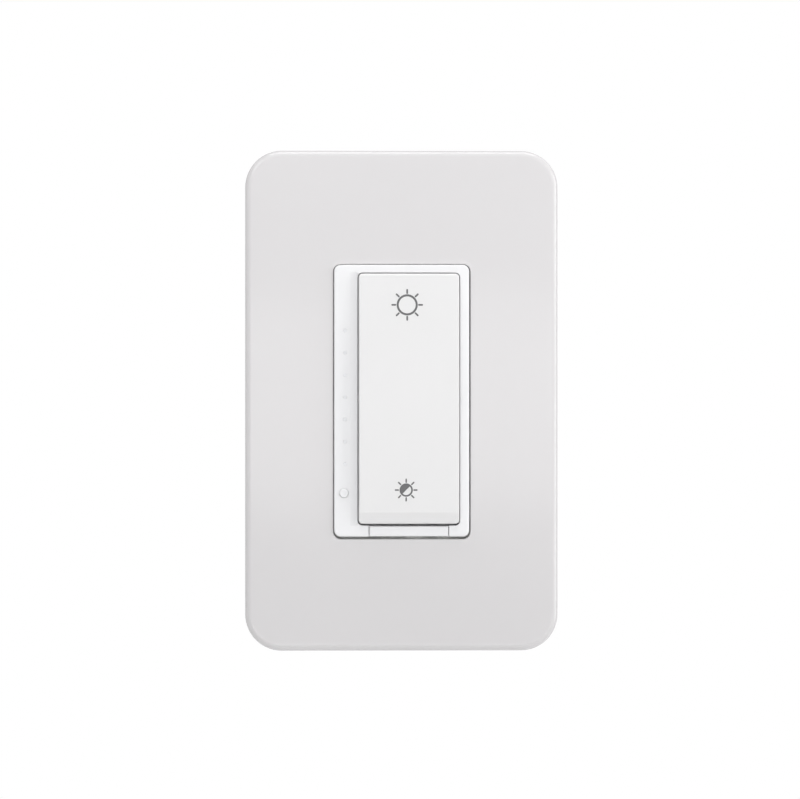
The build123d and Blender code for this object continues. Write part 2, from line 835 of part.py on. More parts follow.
contact_front = neck_end + bridge_t + touch_gap
contact_x = (bridge_w - contact_w) / 2
contact_leg_z = neck_z - (bridge_h - contact_t) / 2
with BuildPart() as air_gap_contacts:
    with BuildSketch(at_depth(contact_front + contact_t)):
        with Locations((tab_x - contact_x, neck_z), (tab_x + contact_x, neck_z)):
            Rectangle(contact_w, bridge_h)
    extrude(amount=contact_t)
    with BuildSketch(at_depth(housing_inner_step)):
        with Locations((tab_x - contact_x, contact_leg_z), (tab_x + contact_x, contact_leg_z)):
            Rectangle(contact_w, contact_t)
    extrude(amount=housing_inner_step - contact_front)
air_gap_contacts.part.label = "air_gap_contacts"
export_step(air_gap_contacts.part, "parts/air_gap_contacts.step")

# ---------------------------------------------------------------- rear housing
barrier_reach = (housing_w - rear_w) / 2
with BuildPart() as rear_housing:
    with BuildSketch(at_depth(housing_step)):
        RectangleRounded(housing_w, housing_h, housing_corner_r)
    extrude(amount=housing_step)
    with BuildSketch(at_depth(housing_depth)):
        RectangleRounded(rear_w, rear_h, housing_corner_r)
    extrude(amount=housing_depth - housing_step)
    fillet(rear_housing.faces().sort_by(Axis.Y)[-1].edges(), housing_edge_r)
    # barriers beside the side terminals
    with BuildSketch(at_depth(housing_depth - barrier_inset)):
        with GridLocations(rear_w + barrier_reach, 2 * terminal_z, 2, 3):
            Rectangle(barrier_reach, barrier_t)
    extrude(amount=housing_depth - barrier_inset - housing_step)
    # room for the boards
    with BuildSketch(at_depth(housing_inner_step)):
        RectangleRounded(
            housing_w - 2 * housing_wall, housing_h - 2 * housing_wall, housing_corner_r - housing_wall
        )
    extrude(amount=housing_inner_step, mode=Mode.SUBTRACT)
    with BuildSketch(at_depth(housing_depth - housing_wall)):
        RectangleRounded(
            rear_w - 2 * housing_wall, rear_h - 2 * housing_wall, housing_corner_r - housing_wall
        )
    extrude(amount=housing_depth - housing_wall - housing_inner_step, mode=Mode.SUBTRACT)
    # columns that clamp the control board, with holes for the housing screws
    with BuildSketch(at_depth(housing_inner_step)):
        with Locations(*housing_screw_places):
            Circle(boss_r)
    extrude(amount=housing_inner_step - control_board_back)
    with BuildSketch(at_depth(housing_step)):
        with Locations(*housing_screw_places):
            Circle(housing_screw_r + screw_play)
    extrude(amount=housing_step, mode=Mode.SUBTRACT)
    # holes for the terminal screws
    for side in (-1, 1):
        with BuildSketch(Plane.YZ.offset(side * rear_w / 2)):
            with Locations((terminal_y, terminal_z), (terminal_y, -terminal_z)):
                Circle(terminal_screw_r + screw_play)
        extrude(amount=-side * housing_wall, mode=Mode.SUBTRACT)
rear_housing.part.label = "rear_housing"
export_step(rear_housing.part, "parts/rear_housing.step")

# ---------------------------------------------------------------- housing screws
housing_screw_end = bezel_back - bezel_floor / 3
with BuildPart() as housing_screws:
    with BuildSketch(at_depth(housing_step)):
        with Locations(*housing_screw_places):
            Circle(housing_screw_r)
    extrude(amount=housing_step - housing_screw_end)
    with BuildSketch(at_depth(housing_step + housing_screw_head_h)):
        with Locations(*housing_screw_places):
            Circle(housing_screw_head_r)
    extrude(amount=housing_screw_head_h)
    fillet(housing_screws.faces().group_by(Axis.Y)[-1].edges(), housing_screw_head_h / 2)
    with BuildSketch(at_depth(housing_step + housing_screw_head_h)):
        with Locations(*housing_screw_places):
            Rectangle(2 * drive_reach, drive_w / 2)
            Rectangle(drive_w / 2, 2 * drive_reach)
    extrude(amount=housing_screw_head_h / 2, mode=Mode.SUBTRACT)
housing_screws.part.label = "housing_screws"
export_step(housing_screws.part, "parts/housing_screws.step")

# ---------------------------------------------------------------- control board
control_board_w = housing_w - 2 * (housing_wall + board_side_gap)
triac_depth = housing_inner_step - triac_room - triac_front
triac_y = triac_front + triac_depth / 2
triac_hole_z = triac_z + (triac_body + triac_tab_h) / 2
with BuildPart() as control_board:
    with BuildSketch(at_depth(control_board_back)):
        with Locations((0, control_board_bottom)):
            Rectangle(
                control_board_w,
                control_board_top - control_board_bottom,
                align=(Align.CENTER, Align.MIN),
            )
        with Locations(*housing_screw_places):
            Circle(housing_screw_r + 2 * screw_play, mode=Mode.SUBTRACT)
        # notch that the triac stands in
        with Locations((control_board_w / 2, triac_z + triac_tab_h / 2 - triac_notch_play)):
            Rectangle(
                2 * (control_board_w / 2 - triac_x + triac_notch_play),
                triac_body + triac_tab_h + 2 * triac_notch_margin,
                mode=Mode.SUBTRACT,
            )
    extrude(amount=board_t)
control_board.part.label = "control_board"
export_step(control_board.part, "parts/control_board.step")

with BuildPart() as indicator_leds:
    with BuildSketch(at_depth(control_board_y)):
        with Locations(*light_places):
            Rectangle(led_w, led_l)
    extrude(amount=led_h)
indicator_leds.part.label = "indicator_leds"
export_step(indicator_leds.part, "parts/indicator_leds.step")


# ---------------------------------------------------------------- push switches on the control board
def switch_body(place, size, height, stem_r):
    """Square switch housing on the board's front, with a well that its stem slides in."""
    with BuildPart() as body:
        with BuildSketch(at_depth(control_board_y)):
            with Locations(place):
                RectangleRounded(size, size, switch_corner_r)
        extrude(amount=height)
        with BuildSketch(at_depth(control_board_y - height / 2)):
            with Locations(place):
                Circle(stem_r + running_fit)
        extrude(amount=height / 2, mode=Mode.SUBTRACT)
    return body


def switch_stem(place, height, stem_r, stem_h, travel):
    """Round stem that stands out of the switch, with room below it for its travel."""
    with BuildPart() as stem:
        with BuildSketch(at_depth(control_board_y - height / 2 - travel - touch_gap)):
            with Locations(place):
                Circle(stem_r)
        extrude(amount=height / 2 + stem_h - travel - touch_gap)
    return stem


brighten_switch = switch_body(plunger_places[0], tact_size, tact_h, tact_stem_r)
brighten_switch.part.label = "brighten_switch"
export_step(brighten_switch.part, "parts/brighten_switch.step")

brighten_stem = switch_stem(plunger_places[0], tact_h, tact_stem_r, tact_stem_h, tact_travel)
brighten_stem.part.label = "brighten_stem"
export_step(brighten_stem.part, "parts/brighten_stem.step")

dim_switch = switch_body(plunger_places[1], tact_size, tact_h, tact_stem_r)
dim_switch.part.label = "dim_switch"
export_step(dim_switch.part, "parts/dim_switch.step")

dim_stem = switch_stem(plunger_places[1], tact_h, tact_stem_r, tact_stem_h, tact_travel)
dim_stem.part.label = "dim_stem"
export_step(dim_stem.part, "parts/dim_stem.step")

pairing_switch = switch_body(button_place, small_tact_size, small_tact_h, small_stem_r)
pairing_switch.part.label = "pairing_switch"
export_step(pairing_switch.part, "parts/pairing_switch.step")

pairing_stem = switch_stem(button_place, small_tact_h, small_stem_r, small_stem_h, button_travel)
pairing_stem.part.label = "pairing_stem"
export_step(pairing_stem.part, "parts/pairing_stem.step")

# ---------------------------------------------------------------- control electronics
with BuildPart() as microcontroller:
    with BuildSketch(at_depth(control_board_y)):
        with Locations((chip_x, paddle_z)):
            Rectangle(chip_size, chip_size)
    extrude(amount=chip_t)
    chamfer(microcontroller.faces().sort_by(Axis.Y)[0].edges(), chip_edge)
microcontroller.part.label = "microcontroller"
export_step(microcontroller.part, "parts/microcontroller.step")

with BuildPart() as radio_board:
    with BuildSketch(at_depth(control_board_back + radio_board_t)):
        with Locations((radio_x, radio_z)):
            Rectangle(radio_w, radio_h)
    extrude(amount=radio_board_t)
radio_board.part.label = "radio_board"
export_step(radio_board.part, "parts/radio_board.step")

shield_back = control_board_back + radio_board_t + shield_h
with BuildPart() as radio_shield:
    with BuildSketch(at_depth(shield_back)):
        with Locations((radio_x, radio_z - shield_drop)):
            RectangleRounded(shield_size, shield_size, shield_corner_r)
    extrude(amount=shield_h)
    with BuildSketch(at_depth(shield_back - shield_t)):
        with Locations((radio_x, radio_z - shield_drop)):
            Rectangle(shield_size - 2 * shield_t, shield_size - 2 * shield_t)
    extrude(amount=shield_h - shield_t, mode=Mode.SUBTRACT)
radio_shield.part.label = "radio_shield"
export_step(radio_shield.part, "parts/radio_shield.step")

with BuildPart() as board_header:
    with BuildSketch(at_depth(power_board_y)):
        with Locations((header_x, header_z)):
            Rectangle(header_w, header_h)
    extrude(amount=power_board_y - control_board_back)
    chamfer(board_header.edges().filter_by(Axis.Y), header_edge)
board_header.part.label = "board_header"
export_step(board_header.part, "parts/board_header.step")

# ---------------------------------------------------------------- triac and its heat spreader
spreader_x = triac_x + triac_w + pad_t
spreader_back = housing_inner_step - spreader_play
with BuildPart() as heat_spreader:
    with BuildSketch(Plane.XY.offset(triac_z - spreader_h / 2)):
        with BuildLine():
            Polyline(
                (spreader_x - spreader_foot, 0),
                (spreader_x + spreader_t, 0),
                (spreader_x + spreader_t, spreader_back),
                (spreader_x, spreader_back),
                (spreader_x, spreader_t),
                (spreader_x - spreader_foot, spreader_t),
                close=True,
            )
        make_face()
    extrude(amount=spreader_h)
    with BuildSketch(Plane.YZ.offset(spreader_x)):
        with Locations((triac_y, triac_hole_z)):
            Circle(triac_hole_r + screw_play)
    extrude(amount=spreader_t, mode=Mode.SUBTRACT)
heat_spreader.part.label = "heat_spreader"
export_step(heat_spreader.part, "parts/heat_spreader.step")

with BuildPart() as insulator_pad:
    with BuildSketch(Plane.YZ.offset(spreader_x - pad_t)):
        with Locations((triac_y, triac_z + triac_tab_h / 2)):
            Rectangle(triac_depth, triac_body + triac_tab_h)
        with Locations((triac_y, triac_hole_z)):
            Circle(triac_hole_r + screw_play, mode=Mode.SUBTRACT)
    extrude(amount=pad_t)
insulator_pad.part.label = "insulator_pad"
export_step(insulator_pad.part, "parts/insulator_pad.step")

lead_bottom = triac_z - triac_body / 2 - lead_reach
lead_x = triac_x + lead_inset
with BuildPart() as triac:
    with BuildSketch(Plane.YZ.offset(triac_x)):
        with Locations((triac_y, triac_z)):
            Rectangle(triac_depth, triac_body)
    extrude(amount=triac_w)
    chamfer(triac.faces().sort_by(Axis.X)[0].edges(), triac_edge)
    with BuildSketch(Plane.YZ.offset(triac_x + triac_w - tab_plate_t)):
        with Locations((triac_y, triac_z + triac_tab_h / 2)):
            Rectangle(triac_depth, triac_body + triac_tab_h)
        with Locations((triac_y, triac_hole_z)):
            Circle(triac_hole_r + screw_play, mode=Mode.SUBTRACT)
    extrude(amount=tab_plate_t)
    # leads down from the body; the outer one turns back to the power board
    with BuildSketch(Plane.XY.offset(lead_bottom)):
        with Locations((lead_x, triac_y)):
            with GridLocations(0, lead_pitch, 1, 3):
                Rectangle(lead_w / 2, lead_w)
    extrude(amount=triac_z - lead_bottom)
    with BuildSketch(Plane.XY.offset(lead_bottom)):
        with Locations((lead_x, (triac_y + power_board_y) / 2)):
            Rectangle(lead_w / 2, power_board_y - triac_y)
    extrude(amount=lead_w)
triac.part.label = "triac"
export_step(triac.part, "parts/triac.step")

with BuildPart() as triac_screw:
    with BuildSketch(Plane.YZ.offset(triac_x + triac_w - tab_plate_t)):
        with Locations((triac_y, triac_hole_z)):
            Circle(triac_hole_r)
    extrude(amount=tab_plate_t + pad_t + spreader_t)
    with BuildSketch(Plane.YZ.offset(triac_x + triac_w - tab_plate_t)):
        with Locations((triac_y, triac_hole_z)):
            Circle(triac_head_r)
    extrude(amount=-triac_head_h)
    fillet(triac_screw.faces().sort_by(Axis.X)[0].edges(), triac_head_edge)
triac_screw.part.label = "triac_screw"
export_step(triac_screw.part, "parts/triac_screw.step")

# ---------------------------------------------------------------- power board and what stands on it
with BuildPart() as power_board:
    with BuildSketch(at_depth(power_board_back)):
        Rectangle(
            rear_w - 2 * (housing_wall + power_board_play), rear_h - 2 * (housing_wall + power_board_play)
        )
    extrude(amount=board_t)
power_board.part.label = "power_board"
export_step(power_board.part, "parts/power_board.step")

choke_y = power_board_back + choke_lift
with BuildPart() as choke_core:
    with BuildSketch(at_depth(choke_y + choke_h)):
        with Locations((choke_x, choke_z)):
            Circle(choke_r)
            Circle(choke_hole_r, mode=Mode.SUBTRACT)
    extrude(amount=choke_h)
    fillet(choke_core.edges(), choke_edge_r)
choke_core.part.label = "choke_core"
export_step(choke_core.part, "parts/choke_core.step")

# the winding: one loop of flat wire for each turn, through the hole and over the rim
loop_mid_r = (choke_r + choke_hole_r) / 2
loop_w = choke_r - choke_hole_r + 2 * wrap_gap
loop_h = choke_h + 2 * wrap_gap
with BuildPart() as choke_winding:
    for turn in range(wrap_count):
        angle = 2 * pi / wrap_count * turn
        ray = (cos(angle), 0, sin(angle))
        middle = (choke_x + loop_mid_r * ray[0], choke_y + choke_h / 2, choke_z + loop_mid_r * ray[2])
        with BuildSketch(Plane(origin=middle, x_dir=ray, z_dir=(-ray[2], 0, ray[0]))):
            RectangleRounded(loop_w + 2 * wire_t, loop_h + 2 * wire_t, wire_t + wrap_gap)
            Rectangle(loop_w, loop_h, mode=Mode.SUBTRACT)
        extrude(amount=wire_t / 2, both=True)
choke_winding.part.label = "choke_winding"
export_step(choke_winding.part, "parts/choke_winding.step")

with BuildPart() as film_capacitor:
    with BuildSketch(at_depth(power_board_back + film_depth)):
        with Locations(film_place):
            Rectangle(film_w, film_h)
    extrude(amount=film_depth)
    fillet(film_capacitor.edges().filter_by(Axis.Y), film_edge_r)
film_capacitor.part.label = "film_capacitor"
export_step(film_capacitor.part, "parts/film_capacitor.step")

with BuildPart() as bulk_capacitor:
    with BuildSketch(at_depth(power_board_back + bulk_depth)):
        with Locations(bulk_place):
            Circle(bulk_r)
    extrude(amount=bulk_depth)
    fillet(bulk_capacitor.faces().sort_by(Axis.Y)[-1].edges(), bulk_edge_r)
    # vent cross in the can's end
    with BuildSketch(at_depth(power_board_back + bulk_depth)):
        with Locations(bulk_place):
            Rectangle(bulk_r, vent_w)
            Rectangle(vent_w, bulk_r)
    extrude(amount=vent_d, mode=Mode.SUBTRACT)
bulk_capacitor.part.label = "bulk_capacitor"
export_step(bulk_capacitor.part, "parts/bulk_capacitor.step")

varistor_y = power_board_back + varistor_lift
varistor_z = varistor_bottom + varistor_t / 2
with BuildPart() as varistor:
    with BuildSketch(Plane.XY.offset(varistor_bottom)):
        with Locations((varistor_x, varistor_y)):
            Circle(varistor_r)
    extrude(amount=varistor_t)
    fillet(varistor.edges(), varistor_edge_r)
    with BuildSketch(at_depth(varistor_y)):
        with Locations((varistor_x, varistor_z)):
            with GridLocations(2 * varistor_lead_x, 0, 2, 1):
                Circle(varistor_lead_r)
    extrude(amount=varistor_y - power_board_back)
varistor.part.label = "varistor"
export_step(varistor.part, "parts/varistor.step")

with BuildPart() as transformer:
    with BuildSketch(at_depth(power_board_back + transformer_depth)):
        with Locations(transformer_place):
            Rectangle(transformer_w, transformer_h)
    extrude(amount=transformer_depth)
    with BuildSketch(Plane.YZ.offset(transformer_place[0] - transformer_w / 2)):
        with Locations((power_board_back + transformer_depth / 2, transformer_place[1])):
            Rectangle(window_w, transformer_h + window_d)
            Rectangle(window_post, window_w, mode=Mode.SUBTRACT)
    extrude(amount=window_d, mode=Mode.SUBTRACT)
    fillet(transformer.faces().sort_by(Axis.Y)[-1].edges(), transformer_edge_r)
transformer.part.label = "transformer"
export_step(transformer.part, "parts/transformer.step")

with BuildPart() as fuse:
    with BuildSketch(at_depth(power_board_back + fuse_depth)):
        with Locations(fuse_place):
            RectangleRounded(fuse_w, fuse_h, fuse_corner_r)
    extrude(amount=fuse_depth)
    fillet(fuse.faces().sort_by(Axis.Y)[-1].edges(), fuse_edge_r)
fuse.part.label = "fuse"
export_step(fuse.part, "parts/fuse.step")

with BuildPart() as rectifier:
    with BuildSketch(at_depth(power_board_y)):
        with Locations(rectifier_place):
            Rectangle(rectifier_w, rectifier_h)
    extrude(amount=rectifier_t)
    chamfer(rectifier.faces().sort_by(Axis.Y)[0].edges(), rectifier_edge)
rectifier.part.label = "rectifier"
export_step(rectifier.part, "parts/rectifier.step")


# ---------------------------------------------------------------- terminals
with BuildPart() as terminal_clamps:
    for side in (-1, 1):
        with BuildSketch(Plane.YZ.offset(side * rear_w / 2)):
            with Locations((terminal_y, terminal_z), (terminal_y, -terminal_z)):
                Rectangle(terminal_plate, terminal_plate)
                Circle(terminal_screw_r + screw_play, mode=Mode.SUBTRACT)
        extrude(amount=side * terminal_plate_t)
    fillet(terminal_clamps.edges().filter_by(Axis.X).filter_by(GeomType.LINE), terminal_corner_r)
terminal_clamps.part.label = "terminal_clamps"
export_step(terminal_clamps.part, "parts/terminal_clamps.step")

# pan-head binding screws; each place is a side of the housing and a height
terminal_face = rear_w / 2 + terminal_plate_t
terminal_screw_end = rear_w / 2 - terminal_bite


def binding_screw(side, z):
    """One binding screw whose axis lies along X, with its slotted head outside."""
    with BuildPart() as screw:
        with BuildSketch(Plane.YZ.offset(side * terminal_screw_end)):
            with Locations((terminal_y, z)):
                Circle(terminal_screw_r)
        extrude(amount=side * (terminal_face - terminal_screw_end))
        with BuildSketch(Plane.YZ.offset(side * terminal_face)):
            with Locations((terminal_y, z)):
                Circle(terminal_head_r)
        extrude(amount=side * terminal_head_t)
        head_face = screw.faces().sort_by(Axis.X)[0 if side < 0 else -1]
        fillet(head_face.edges(), terminal_head_edge)
        with BuildSketch(Plane.YZ.offset(side * (terminal_face + terminal_head_t))):
            with Locations((terminal_y, z)):
                Rectangle(2 * terminal_head_r, drive_w)
        extrude(amount=-side * terminal_head_t / 2, mode=Mode.SUBTRACT)
    return screw.part


with BuildPart() as live_terminal_screws:
    add(binding_screw(1, terminal_z))
    add(binding_screw(1, -terminal_z))
    add(binding_screw(-1, -terminal_z))
live_terminal_screws.part.label = "live_terminal_screws"
export_step(live_terminal_screws.part, "parts/live_terminal_screws.step")

with BuildPart() as neutral_terminal_screw:
    add(binding_screw(-1, terminal_z))
neutral_terminal_screw.part.label = "neutral_terminal_screw"
export_step(neutral_terminal_screw.part, "parts/neutral_terminal_screw.step")

with BuildPart() as rating_label:
    with BuildSketch(at_depth(housing_depth + label_t)):
        RectangleRounded(rear_w - 2 * label_margin, rear_h - 2 * label_margin, housing_edge_r)
    extrude(amount=label_t)
rating_label.part.label = "rating_label"
export_step(rating_label.part, "parts/rating_label.step")
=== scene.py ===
import json
import math

import bpy
import numpy as np
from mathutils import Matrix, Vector


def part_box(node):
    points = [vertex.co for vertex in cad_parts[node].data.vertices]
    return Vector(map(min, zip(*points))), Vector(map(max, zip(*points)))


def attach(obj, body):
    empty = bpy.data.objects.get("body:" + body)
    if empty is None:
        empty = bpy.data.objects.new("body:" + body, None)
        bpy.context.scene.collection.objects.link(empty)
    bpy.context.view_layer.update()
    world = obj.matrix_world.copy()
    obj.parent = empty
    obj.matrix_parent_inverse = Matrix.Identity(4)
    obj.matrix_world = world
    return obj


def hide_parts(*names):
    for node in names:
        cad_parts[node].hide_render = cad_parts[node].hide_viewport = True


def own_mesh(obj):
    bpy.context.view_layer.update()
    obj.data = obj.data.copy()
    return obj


# A single-gang paddle dimmer switch with its screwless wall plate. Metres, +Z up, front towards -Y.
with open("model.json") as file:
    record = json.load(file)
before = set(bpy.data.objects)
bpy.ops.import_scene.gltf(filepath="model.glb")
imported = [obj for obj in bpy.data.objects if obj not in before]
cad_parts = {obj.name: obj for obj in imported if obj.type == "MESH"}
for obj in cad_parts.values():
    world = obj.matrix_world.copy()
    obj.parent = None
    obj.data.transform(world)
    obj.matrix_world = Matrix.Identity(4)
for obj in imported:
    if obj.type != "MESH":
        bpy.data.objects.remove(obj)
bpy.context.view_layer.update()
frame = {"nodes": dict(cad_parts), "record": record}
MM = 0.001

# Places of the colour sockets on a Mix node, which has a set for each kind of value.
MIX_SHARE, MIX_FIRST, MIX_SECOND, MIX_RESULT = 0, 6, 7, 2


# ------------------------------------------------------------------ shader building blocks
def node(tree, kind, links=(), **values):
    """A shader node with its settings, its constants and its incoming links."""
    made = tree.nodes.new(kind)
    for key, value in values.items():
        if key.startswith("in_"):
            made.inputs[key[3:].replace("_", " ")].default_value = value
        else:
            setattr(made, key, value)
    for socket, source in dict(links).items():
        tree.links.new(source, made.inputs[socket])
    return made


def new_group(name, inputs, outputs):
    """A node group with named inputs and outputs. Returns the tree, its input node and its output
    node."""
    tree = bpy.data.node_groups.new(name, "ShaderNodeTree")
    kinds = {"c": "NodeSocketColor", "f": "NodeSocketFloat"}
    for label, kind, start in inputs:
        socket = tree.interface.new_socket(label, in_out="INPUT", socket_type=kinds[kind])
        socket.default_value = start
    for label, kind in outputs:
        tree.interface.new_socket(label, in_out="OUTPUT", socket_type=kinds[kind])
    return tree, tree.nodes.new("NodeGroupInput"), tree.nodes.new("NodeGroupOutput")


def maths(tree, operation, a, b=None):
    """One arithmetic node on two sockets or numbers."""
    made = tree.nodes.new("ShaderNodeMath")
    made.operation = operation
    for index, value in enumerate((a, b)):
        if isinstance(value, (int, float)):
            made.inputs[index].default_value = value
        elif value is not None:
            tree.links.new(value, made.inputs[index])
    return made.outputs[0]


def centred(tree, value, amount):
    """The socket value, which runs 0 to 1, moved to run from minus half of amount to plus half of
    it."""
    return maths(tree, "MULTIPLY", maths(tree, "SUBTRACT", value, 0.5), amount)


def tinted(tree, colour, factor):
    """The colour multiplied by one plus the factor."""
    scale = node(tree, "ShaderNodeVectorMath", operation="SCALE")
    tree.links.new(colour, scale.inputs[0])
    tree.links.new(maths(tree, "ADD", factor, 1.0), scale.inputs["Scale"])
    return scale.outputs[0]


def moulded_group():
    """Injection-moulded plastic: a fine spark-eroded grain, slow drifts of tone and polish, and a
    slight sink."""
    tree, given, out = new_group(
        "MouldedPlastic",
        [
            ("Colour", "c", (0.8, 0.8, 0.8, 1)),
            ("Tone spread", "f", 0.02),
            ("Grain scale", "f", 2500.0),
            ("Grain share", "f", 0.3),
            ("Sink scale", "f", 30.0),
            ("Roughness", "f", 0.3),
            ("Roughness spread", "f", 0.05),
        ],
        [("Colour", "c"), ("Roughness", "f"), ("Height", "f")],
    )
    place = node(tree, "ShaderNodeTexCoord").outputs["Object"]
    fine = {"Vector": place, "Scale": given.outputs["Grain scale"]}
    broad = {"Vector": place, "Scale": given.outputs["Sink scale"]}
    grain = node(tree, "ShaderNodeTexNoise", fine, in_Detail=3.0)
    sink = node(tree, "ShaderNodeTexNoise", broad, in_Detail=1.0)
    handled = node(tree, "ShaderNodeTexNoise", {"Vector": place}, in_Scale=180.0, in_Detail=4.0)
    share = given.outputs["Grain share"]
    height = maths(
        tree,
        "ADD",
        maths(tree, "MULTIPLY", grain.outputs[0], share),
        maths(tree, "MULTIPLY", sink.outputs[0], maths(tree, "SUBTRACT", 1.0, share)),
    )
    colour = tinted(
        tree,
        given.outputs["Colour"],
        maths(tree, "MULTIPLY", centred(tree, sink.outputs[0], 2.0), given.outputs["Tone spread"]),
    )
    polish = maths(
        tree, "MULTIPLY", centred(tree, handled.outputs[0], 2.0), given.outputs["Roughness spread"]
    )
    tree.links.new(colour, out.inputs["Colour"])
    tree.links.new(maths(tree, "ADD", given.outputs["Roughness"], polish), out.inputs["Roughness"])
    tree.links.new(height, out.inputs["Height"])
    return tree


def metal_group():
    """Rolled or turned metal: fine lines along one direction over a mottled, slightly oxidised
    plating."""
    tree, given, out = new_group(
        "PlatedMetal",
        [
            ("Colour", "c", (0.7, 0.7, 0.7, 1)),
            ("Tarnish", "c", (0.4, 0.4, 0.4, 1)),
            ("Tarnish share", "f", 0.3),
            ("Lines across", "f", 4000.0),
            ("Lines along", "f", 120.0),
            ("Roughness", "f", 0.3),
            ("Roughness spread", "f", 0.2),
        ],
        [("Colour", "c"), ("Roughness", "f"), ("Height", "f")],
    )
    place = node(tree, "ShaderNodeTexCoord").outputs["Object"]
    axes = node(
        tree,
        "ShaderNodeCombineXYZ",
        {
            "X": given.outputs["Lines across"],
            "Y": given.outputs["Lines across"],
            "Z": given.outputs["Lines along"],
        },
    )
    stretched = node(tree, "ShaderNodeVectorMath", operation="MULTIPLY")
    tree.links.new(place, stretched.inputs[0])
    tree.links.new(axes.outputs[0], stretched.inputs[1])
    lines = node(
        tree, "ShaderNodeTexNoise", {"Vector": stretched.outputs[0]}, in_Scale=1.0, in_Detail=2.0
    )
    mottle = node(tree, "ShaderNodeTexNoise", {"Vector": place}, in_Scale=420.0, in_Detail=5.0)
    edge = node(
        tree, "ShaderNodeMapRange", {"Value": mottle.outputs[0]}, in_From_Min=0.38, in_From_Max=0.68
    )
    blend = node(tree, "ShaderNodeMix", data_type="RGBA")
    oxidised = maths(tree, "MULTIPLY", edge.outputs[0], given.outputs["Tarnish share"])
    tree.links.new(oxidised, blend.inputs[MIX_SHARE])
    tree.links.new(given.outputs["Colour"], blend.inputs[MIX_FIRST])
    tree.links.new(given.outputs["Tarnish"], blend.inputs[MIX_SECOND])
    lines_share = 0.6
    scored = maths(tree, "MULTIPLY", lines.outputs[0], lines_share)
    both = maths(tree, "ADD", scored, edge.outputs[0])
    polish = maths(tree, "MULTIPLY", centred(tree, both, 1.0), given.outputs["Roughness spread"])
    tree.links.new(blend.outputs[MIX_RESULT], out.inputs["Colour"])
    tree.links.new(maths(tree, "ADD", given.outputs["Roughness"], polish), out.inputs["Roughness"])
    tree.links.new(lines.outputs[0], out.inputs["Height"])
    return tree


def board_group():
    """A circuit board: solder mask over tracks that run on a square pitch, with tinned pads at some
    crossings."""
    tree, given, out = new_group(
        "CircuitBoard",
        [("Mask", "c", (0.02, 0.12, 0.05, 1)), ("Track tone", "f", 0.6), ("Pitch", "f", 500.0)],
        [("Colour", "c"), ("Roughness", "f"), ("Height", "f")],
    )
    tinned = (0.55, 0.55, 0.52, 1)
    pad_reach, mask_polish, track_polish = 0.16, 0.3, 0.12
    place = node(tree, "ShaderNodeTexCoord").outputs["Object"]
    turned = node(
        tree, "ShaderNodeMapping", {"Vector": place}, in_Rotation=(math.radians(90), 0, 0)
    )
    tracks = node(
        tree, "ShaderNodeTexBrick", {"Vector": turned.outputs[0], "Scale": given.outputs["Pitch"]}
    )
    tracks.offset = 0.35
    tracks.inputs["Mortar Size"].default_value = 0.09
    tracks.inputs["Brick Width"].default_value = 1.7
    tracks.inputs["Row Height"].default_value = 0.6
    pads = node(
        tree, "ShaderNodeTexVoronoi", {"Vector": turned.outputs[0], "Scale": given.outputs["Pitch"]}
    )
    pads.inputs["Randomness"].default_value = 0.55
    pad = maths(tree, "LESS_THAN", pads.outputs["Distance"], pad_reach)
    raised = maths(tree, "MULTIPLY", tracks.outputs["Fac"], given.outputs["Track tone"])
    masked = tinted(tree, given.outputs["Mask"], raised)
    blend = node(tree, "ShaderNodeMix", data_type="RGBA")
    tree.links.new(pad, blend.inputs[MIX_SHARE])
    tree.links.new(masked, blend.inputs[MIX_FIRST])
    blend.inputs[MIX_SECOND].default_value = tinned
    tree.links.new(blend.outputs[MIX_RESULT], out.inputs["Colour"])
    dulled = maths(tree, "MULTIPLY", tracks.outputs["Fac"], track_polish)
    rough = maths(tree, "ADD", dulled, mask_polish)
    tree.links.new(rough, out.inputs["Roughness"])
    tree.links.new(maths(tree, "ADD", tracks.outputs["Fac"], pad), out.inputs["Height"])
    return tree


GROUPS = {"moulded": moulded_group(), "metal": metal_group(), "board": board_group()}


def finish(name, group, inputs, bump=0.00002, strength=0.3, **shader):
    """A material whose colour, roughness and surface come from a shared group. Words in shader are
    the surface's own constants, with underscores for spaces."""
    made = bpy.data.materials.new(name)
    made.use_nodes = True
    tree = made.node_tree
    surface = tree.nodes["Principled BSDF"]
    source = tree.nodes.new("ShaderNodeGroup")
    source.node_tree = GROUPS[group]
    for key, value in inputs.items():
        source.inputs[key].default_value = (*value, 1) if isinstance(value, tuple) else value
    relief = node(tree, "ShaderNodeBump", {"Height": source.outputs["Height"]}, in_Strength=strength)
    relief.inputs["Distance"].default_value = bump
    tree.links.new(source.outputs["Colour"], surface.inputs["Base Color"])
    tree.links.new(source.outputs["Roughness"], surface.inputs["Roughness"])
    tree.links.new(relief.outputs[0], surface.inputs["Normal"])
    for key, value in shader.items():
        surface.inputs[key.replace("_", " ")].default_value = value
    return made


def plastic(name, colour, rough, tone=0.02, grain=2500.0, share=0.35, sink=30.0, spread=0.05, **rest):
    """Moulded plastic of one colour."""
    return finish(
        name,
        "moulded",
        {
            "Colour": colour,
            "Tone spread": tone,
            "Grain scale": grain,
            "Grain share": share,
            "Sink scale": sink,
            "Roughness": rough,
            "Roughness spread": spread,
        },
        **rest,
    )


def metal(name, colour, tarnish, rough, share=0.35, across=4000.0, along=150.0, spread=0.2, **rest):
    """Bare or plated metal."""
    return finish(
        name,
        "metal",
        {
            "Colour": colour,
            "Tarnish": tarnish,
            "Tarnish share": share,
            "Lines across": across,
            "Lines along": along,
            "Roughness": rough,
            "Roughness spread": spread,
        },
        Metallic=1.0,
        **rest,
    )


